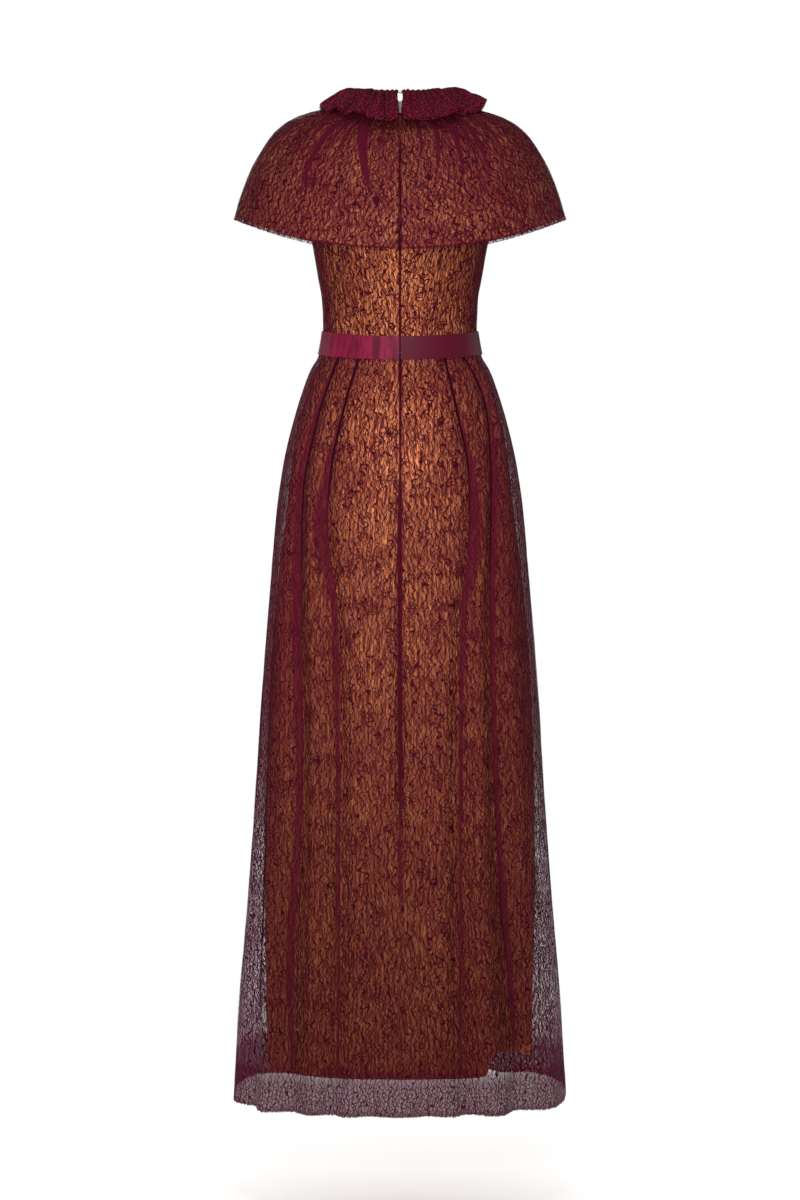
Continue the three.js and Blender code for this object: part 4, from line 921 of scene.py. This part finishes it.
# Collar
def collar_pieces():
    shares = np.linspace(1, 0, 16)
    starts = np.degrees(column(KEYHOLE, 1, shares) / NECK_HALF)[:, None]
    angles = lerp(starts, 360 - starts, np.linspace(0, 1, 221))
    grid = collar_stand(angles, shares[:, None] + 0 * angles)
    stand = cloth("collar_stand_cloth", grid, STAND_THICK, -STAND_THICK)
    finish_piece(stand, frill_lace, "collar_stand")
    stand.data.attributes["above_edge"].data.foreach_set(
        "value", np.full(len(stand.data.vertices), 1.0, dtype=np.float32))

    shares = np.linspace(0, 1, 40)
    starts = np.degrees(column(FRILL_ENDS, 1, shares) / NECK_HALF)[:, None]
    angles = lerp(starts, 360 - starts, np.linspace(0, 1, 481))
    wide = shares[:, None] + 0 * angles
    grid = collar_frill(angles, wide)
    ribs = np.cos(np.radians(angles) * 58 + 2.2 * np.sin(np.radians(angles) * 7))
    height = 0.8 * (1 - 0.6 * wide) * ribs
    shade = 0.45 * smoothstep(-0.1, -1.0, ribs) * smoothstep(1.0, 0.3, wide)
    for angle, slant, depth, start, end in FRILL_CREASES:
        away = (angles - angle - slant * wide + 180) % 360 - 180
        line = smoothstep(start - 0.1, start, wide) * smoothstep(end + 0.1, end, wide)
        height = height - 3.2 * depth * line * bell(away / 1.6)
        height = height + 1.4 * depth * line * bell((away - 4) / 3)
        shade = np.maximum(shade, depth * line * bell(away / 0.8))

    def relief(u, v):
        return height + 0.5 * noise(u, v, 3, 7, 51) + 1.1 * noise(u, v, 14, 30, 52) * wide

    frill = cloth("collar_frill_cloth", grid, FRILL_THICK, 0, relief, np.clip(shade, 0, 1), even=True)
    finish_piece(frill, frill_lace, "collar_frill")


# Ribbon
def ribbon_piece():
    heights = np.linspace(RIBBON[0, 0], RIBBON[-1, 0], 15)
    angles = np.linspace(RIBBON_END, 360 - RIBBON_END, 260)[None, :] + 0 * heights[:, None]
    grid = ribbon(angles, heights[:, None])
    # Painted shade: the ribbon's half at negative x is painted darker than the other half.
    nap_shade = smoothstep(4, -4, grid[..., 0])
    band = cloth("waist_ribbon_satin", grid, 1.0, 0, lambda u, v: 0.25 * noise(u, v, 25, 60, 61), nap_shade,
                 even=True)
    finish_piece(band, ribbon_satin, "waist_ribbon")


# Zip: the tape inside the back, and the coil along its middle
TAPE_TOP, TAPE_FOOT = 1462, 911
TAPE_HALF, TAPE_THICK, TAPE_LIFT = 11, 0.8, -3
COIL_TOP, COIL_FOOT = 1458, 914
COIL_PITCH, COIL_WIDE, COIL_OUT, COIL_SIDE = 1.6, 1.5, 0.8, 0.35


def back_inside(x, height):
    """A place on the inside of the back, by its distance from the centre and its height."""
    x, height = np.broadcast_arrays(x, height)
    low = np.minimum(height, UNDERARM)
    lining = np.array(ring_at(LINING_SKIRT, np.minimum(low, WAIST_SEAM)))
    ring = list(np.where(low > WAIST_SEAM, np.array(ring_at(BODICE, np.maximum(low, WAIST_SEAM))), lining))
    made_x, made_y = ring_point(ring, angle_of_x(ring, x, 1))
    below = points(made_x, made_y, low + waist_dip(0, low))
    share = np.clip((height - UNDERARM) / (NECK_BACK_HEIGHT - UNDERARM), 0, 1)
    middle = bodice(np.degrees(x / column(ARMHOLE, 1, share)), UNDERARM + share * UPPER_SPAN)
    up = np.clip((height - NECK_BACK_HEIGHT) / STAND_BACK_RISE, 0, 1)
    above = collar_stand(np.degrees(x / NECK_HALF), up)
    made = np.where((height > UNDERARM)[..., None], middle, below)
    return np.where((height > NECK_BACK_HEIGHT)[..., None], above, made)


def zip_pieces():
    heights = way_steps([TAPE_TOP, NECK_BACK_HEIGHT, UNDERARM, WAIST_SEAM, TAPE_FOOT], 8)
    grid = back_inside(np.linspace(-TAPE_HALF, TAPE_HALF, 9)[None, :], heights[:, None])
    tape = cloth("zip_tape_cloth", grid, TAPE_THICK, TAPE_LIFT)
    finish_piece(tape, zip_weave, "zip_tape")
    heights = np.arange(COIL_TOP, COIL_FOOT, -COIL_PITCH)
    middle = back_inside(np.zeros(len(heights)), heights)
    bpy.ops.object.select_all(action="DESELECT")
    bpy.ops.mesh.primitive_cube_add(size=1)
    tooth = bpy.context.object
    corners = np.array([tuple(vertex.co) for vertex in tooth.data.vertices])
    faces = np.array([tuple(face.vertices) for face in tooth.data.polygons])
    size = np.array([COIL_WIDE, COIL_OUT, COIL_PITCH * 0.6])
    teeth = []
    for k, spot in enumerate(middle):
        side = COIL_SIDE if k % 2 else -COIL_SIDE
        teeth.append(corners * size + spot + (side, TAPE_LIFT - COIL_OUT / 2 - 0.05, 0))
    places = np.concatenate(teeth) * MM
    every = np.concatenate([faces + k * len(corners) for k in range(len(teeth))])
    mesh = bpy.data.meshes.new("zip_coil")
    mesh.from_pydata(places.tolist(), [], every.tolist())
    tooth.data = mesh
    tooth.name = "zip_coil"
    mesh.materials.append(painted_metal)
    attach(tooth, "gown")


# Sewing inside the lining: the seam allowances, pressed open
ALLOWANCE_HALF, ALLOWANCE_THICK = 9, 0.5


def seam_pieces():
    rows = way_steps([WAIST_SEAM - 3, HIGH_HIP, LINING_HEM + 2], 14)
    ring = [value[:, None] for value in ring_at(LINING_SKIRT, rows)]
    across = np.linspace(-1, 1, 5)[None, :]
    reach = np.degrees(np.arcsin((ALLOWANCE_HALF / ring[2]) ** (ring[3] / 2)))
    for name, angles in (("back", angle_of_x(ring, across * ALLOWANCE_HALF, 1)),
                         ("left", 90 + across * reach), ("right", across * reach - 90)):
        strip = cloth(f"lining_seam_{name}", lining_skirt(angles, rows[:, None]), ALLOWANCE_THICK,
                      -LINING_THICK - ALLOWANCE_THICK,
                      lambda u, v: -0.3 - 5.5 * np.clip(v / LINING_LENGTH, 0, 1))
        strip.data.materials.append(lining_satin)
        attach(strip, "gown")


bodice_pieces()
skirt_pieces()
zip_pieces()
seam_pieces()
cape_pieces()
collar_pieces()
ribbon_piece()
for name in ("zip_slider", "zip_pull", "collar_hook", "collar_eye", "ribbon_hook"):
    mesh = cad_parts[name].data
    mesh.materials.clear()
    mesh.materials.append(painted_metal)

# Studio, in metres and degrees: a pale floor that fades out, soft lamps, and a key lamp on the gown's back
FLOOR_SIZE, FLOOR_HEIGHT = 2.4, -1.6
KEY_PLACE, KEY_TARGET = (0.12, 2.7, -0.1), (0, 0, -0.49)
KEY_CONE, KEY_SIZE, KEY_POWER = 46, 0.35, 272
WORLD_LIGHT = 0.34

bpy.ops.object.select_all(action="DESELECT")
bpy.ops.mesh.primitive_plane_add(size=FLOOR_SIZE, location=(0, 0, FLOOR_HEIGHT))
floor = bpy.context.object
floor.name = "floor"
paper, paper_tree = new_material("pale_floor")
radius = add_node(paper_tree, "ShaderNodeVectorMath", {"operation": "LENGTH"}, {
    0: object_place(paper_tree)}).outputs["Value"]
surface(paper_tree, {
    "Base Color": linear("#f7f5f4"), "Roughness": 0.9, "Emission Color": (1, 1, 1, 1),
    "Emission Strength": 0.35, "Alpha": ramp_range(paper_tree, radius, 0.35, 1.1, 1.0, 0.0)})
floor.data.materials.append(paper)


def aim(made, place, target):
    """Turns a lamp or a camera at a place towards its target."""
    made.rotation_euler = (Vector(target) - Vector(place)).to_track_quat("-Z", "Y").to_euler()


def lamp(name, place, target, size, power):
    bpy.ops.object.light_add(type="AREA", location=place)
    made = bpy.context.object
    made.name = name
    made.visible_camera = False
    made.data.size = size
    made.data.energy = power
    aim(made, place, target)


lamp("fill", (2.4, 2.2, -0.4), (0, 0, -0.7), 1.8, 12)
lamp("front", (0.3, -2.6, 0.2), (0, 0, -0.6), 1.4, 40)
lamp("top", (0, 1.7, 1.5), (0, 0.1, -0.05), 0.7, 15)
lamp("rim_left", (2.6, -1.6, 0.4), (0, 0, -0.7), 1.2, 14)
lamp("rim_right", (-2.6, -1.6, 0.4), (0, 0, -0.7), 1.2, 14)
bpy.ops.object.light_add(type="SPOT", location=KEY_PLACE)
key = bpy.context.object
key.name = "key"
key.data.energy = KEY_POWER
key.data.shadow_soft_size = KEY_SIZE
key.data.spot_size = math.radians(KEY_CONE)
key.data.spot_blend = 1.0
aim(key, KEY_PLACE, KEY_TARGET)

# The world lights the gown softly, and the camera sees it as white
world = bpy.data.worlds.new("studio")
bpy.context.scene.world = world
world.use_nodes = True
air = world.node_tree
air.nodes.clear()
seen = add_node(air, "ShaderNodeLightPath").outputs["Is Camera Ray"]
sky = add_node(air, "ShaderNodeBackground", None, {
    "Color": (1, 1, 1, 1), "Strength": ramp_range(air, seen, 0.0, 1.0, WORLD_LIGHT, 1.0)})
add_node(air, "ShaderNodeOutputWorld", None, {"Surface": sky.outputs[0]})
bpy.context.scene.view_settings.view_transform = "Standard"

# Camera: behind the gown, a little above its middle, as in the photograph
CAMERA_PLACE, CAMERA_TARGET = (0, 5.5, -0.183), (0, 0, -0.705)
CAMERA_LENS, CAMERA_SENSOR = 111.96, 36
bpy.ops.object.camera_add(location=CAMERA_PLACE)
camera = bpy.context.object
aim(camera, CAMERA_PLACE, CAMERA_TARGET)
camera.data.sensor_fit = "VERTICAL"
camera.data.sensor_width = CAMERA_SENSOR
camera.data.sensor_height = CAMERA_SENSOR
camera.data.lens = CAMERA_LENS
bpy.context.scene.camera = camera
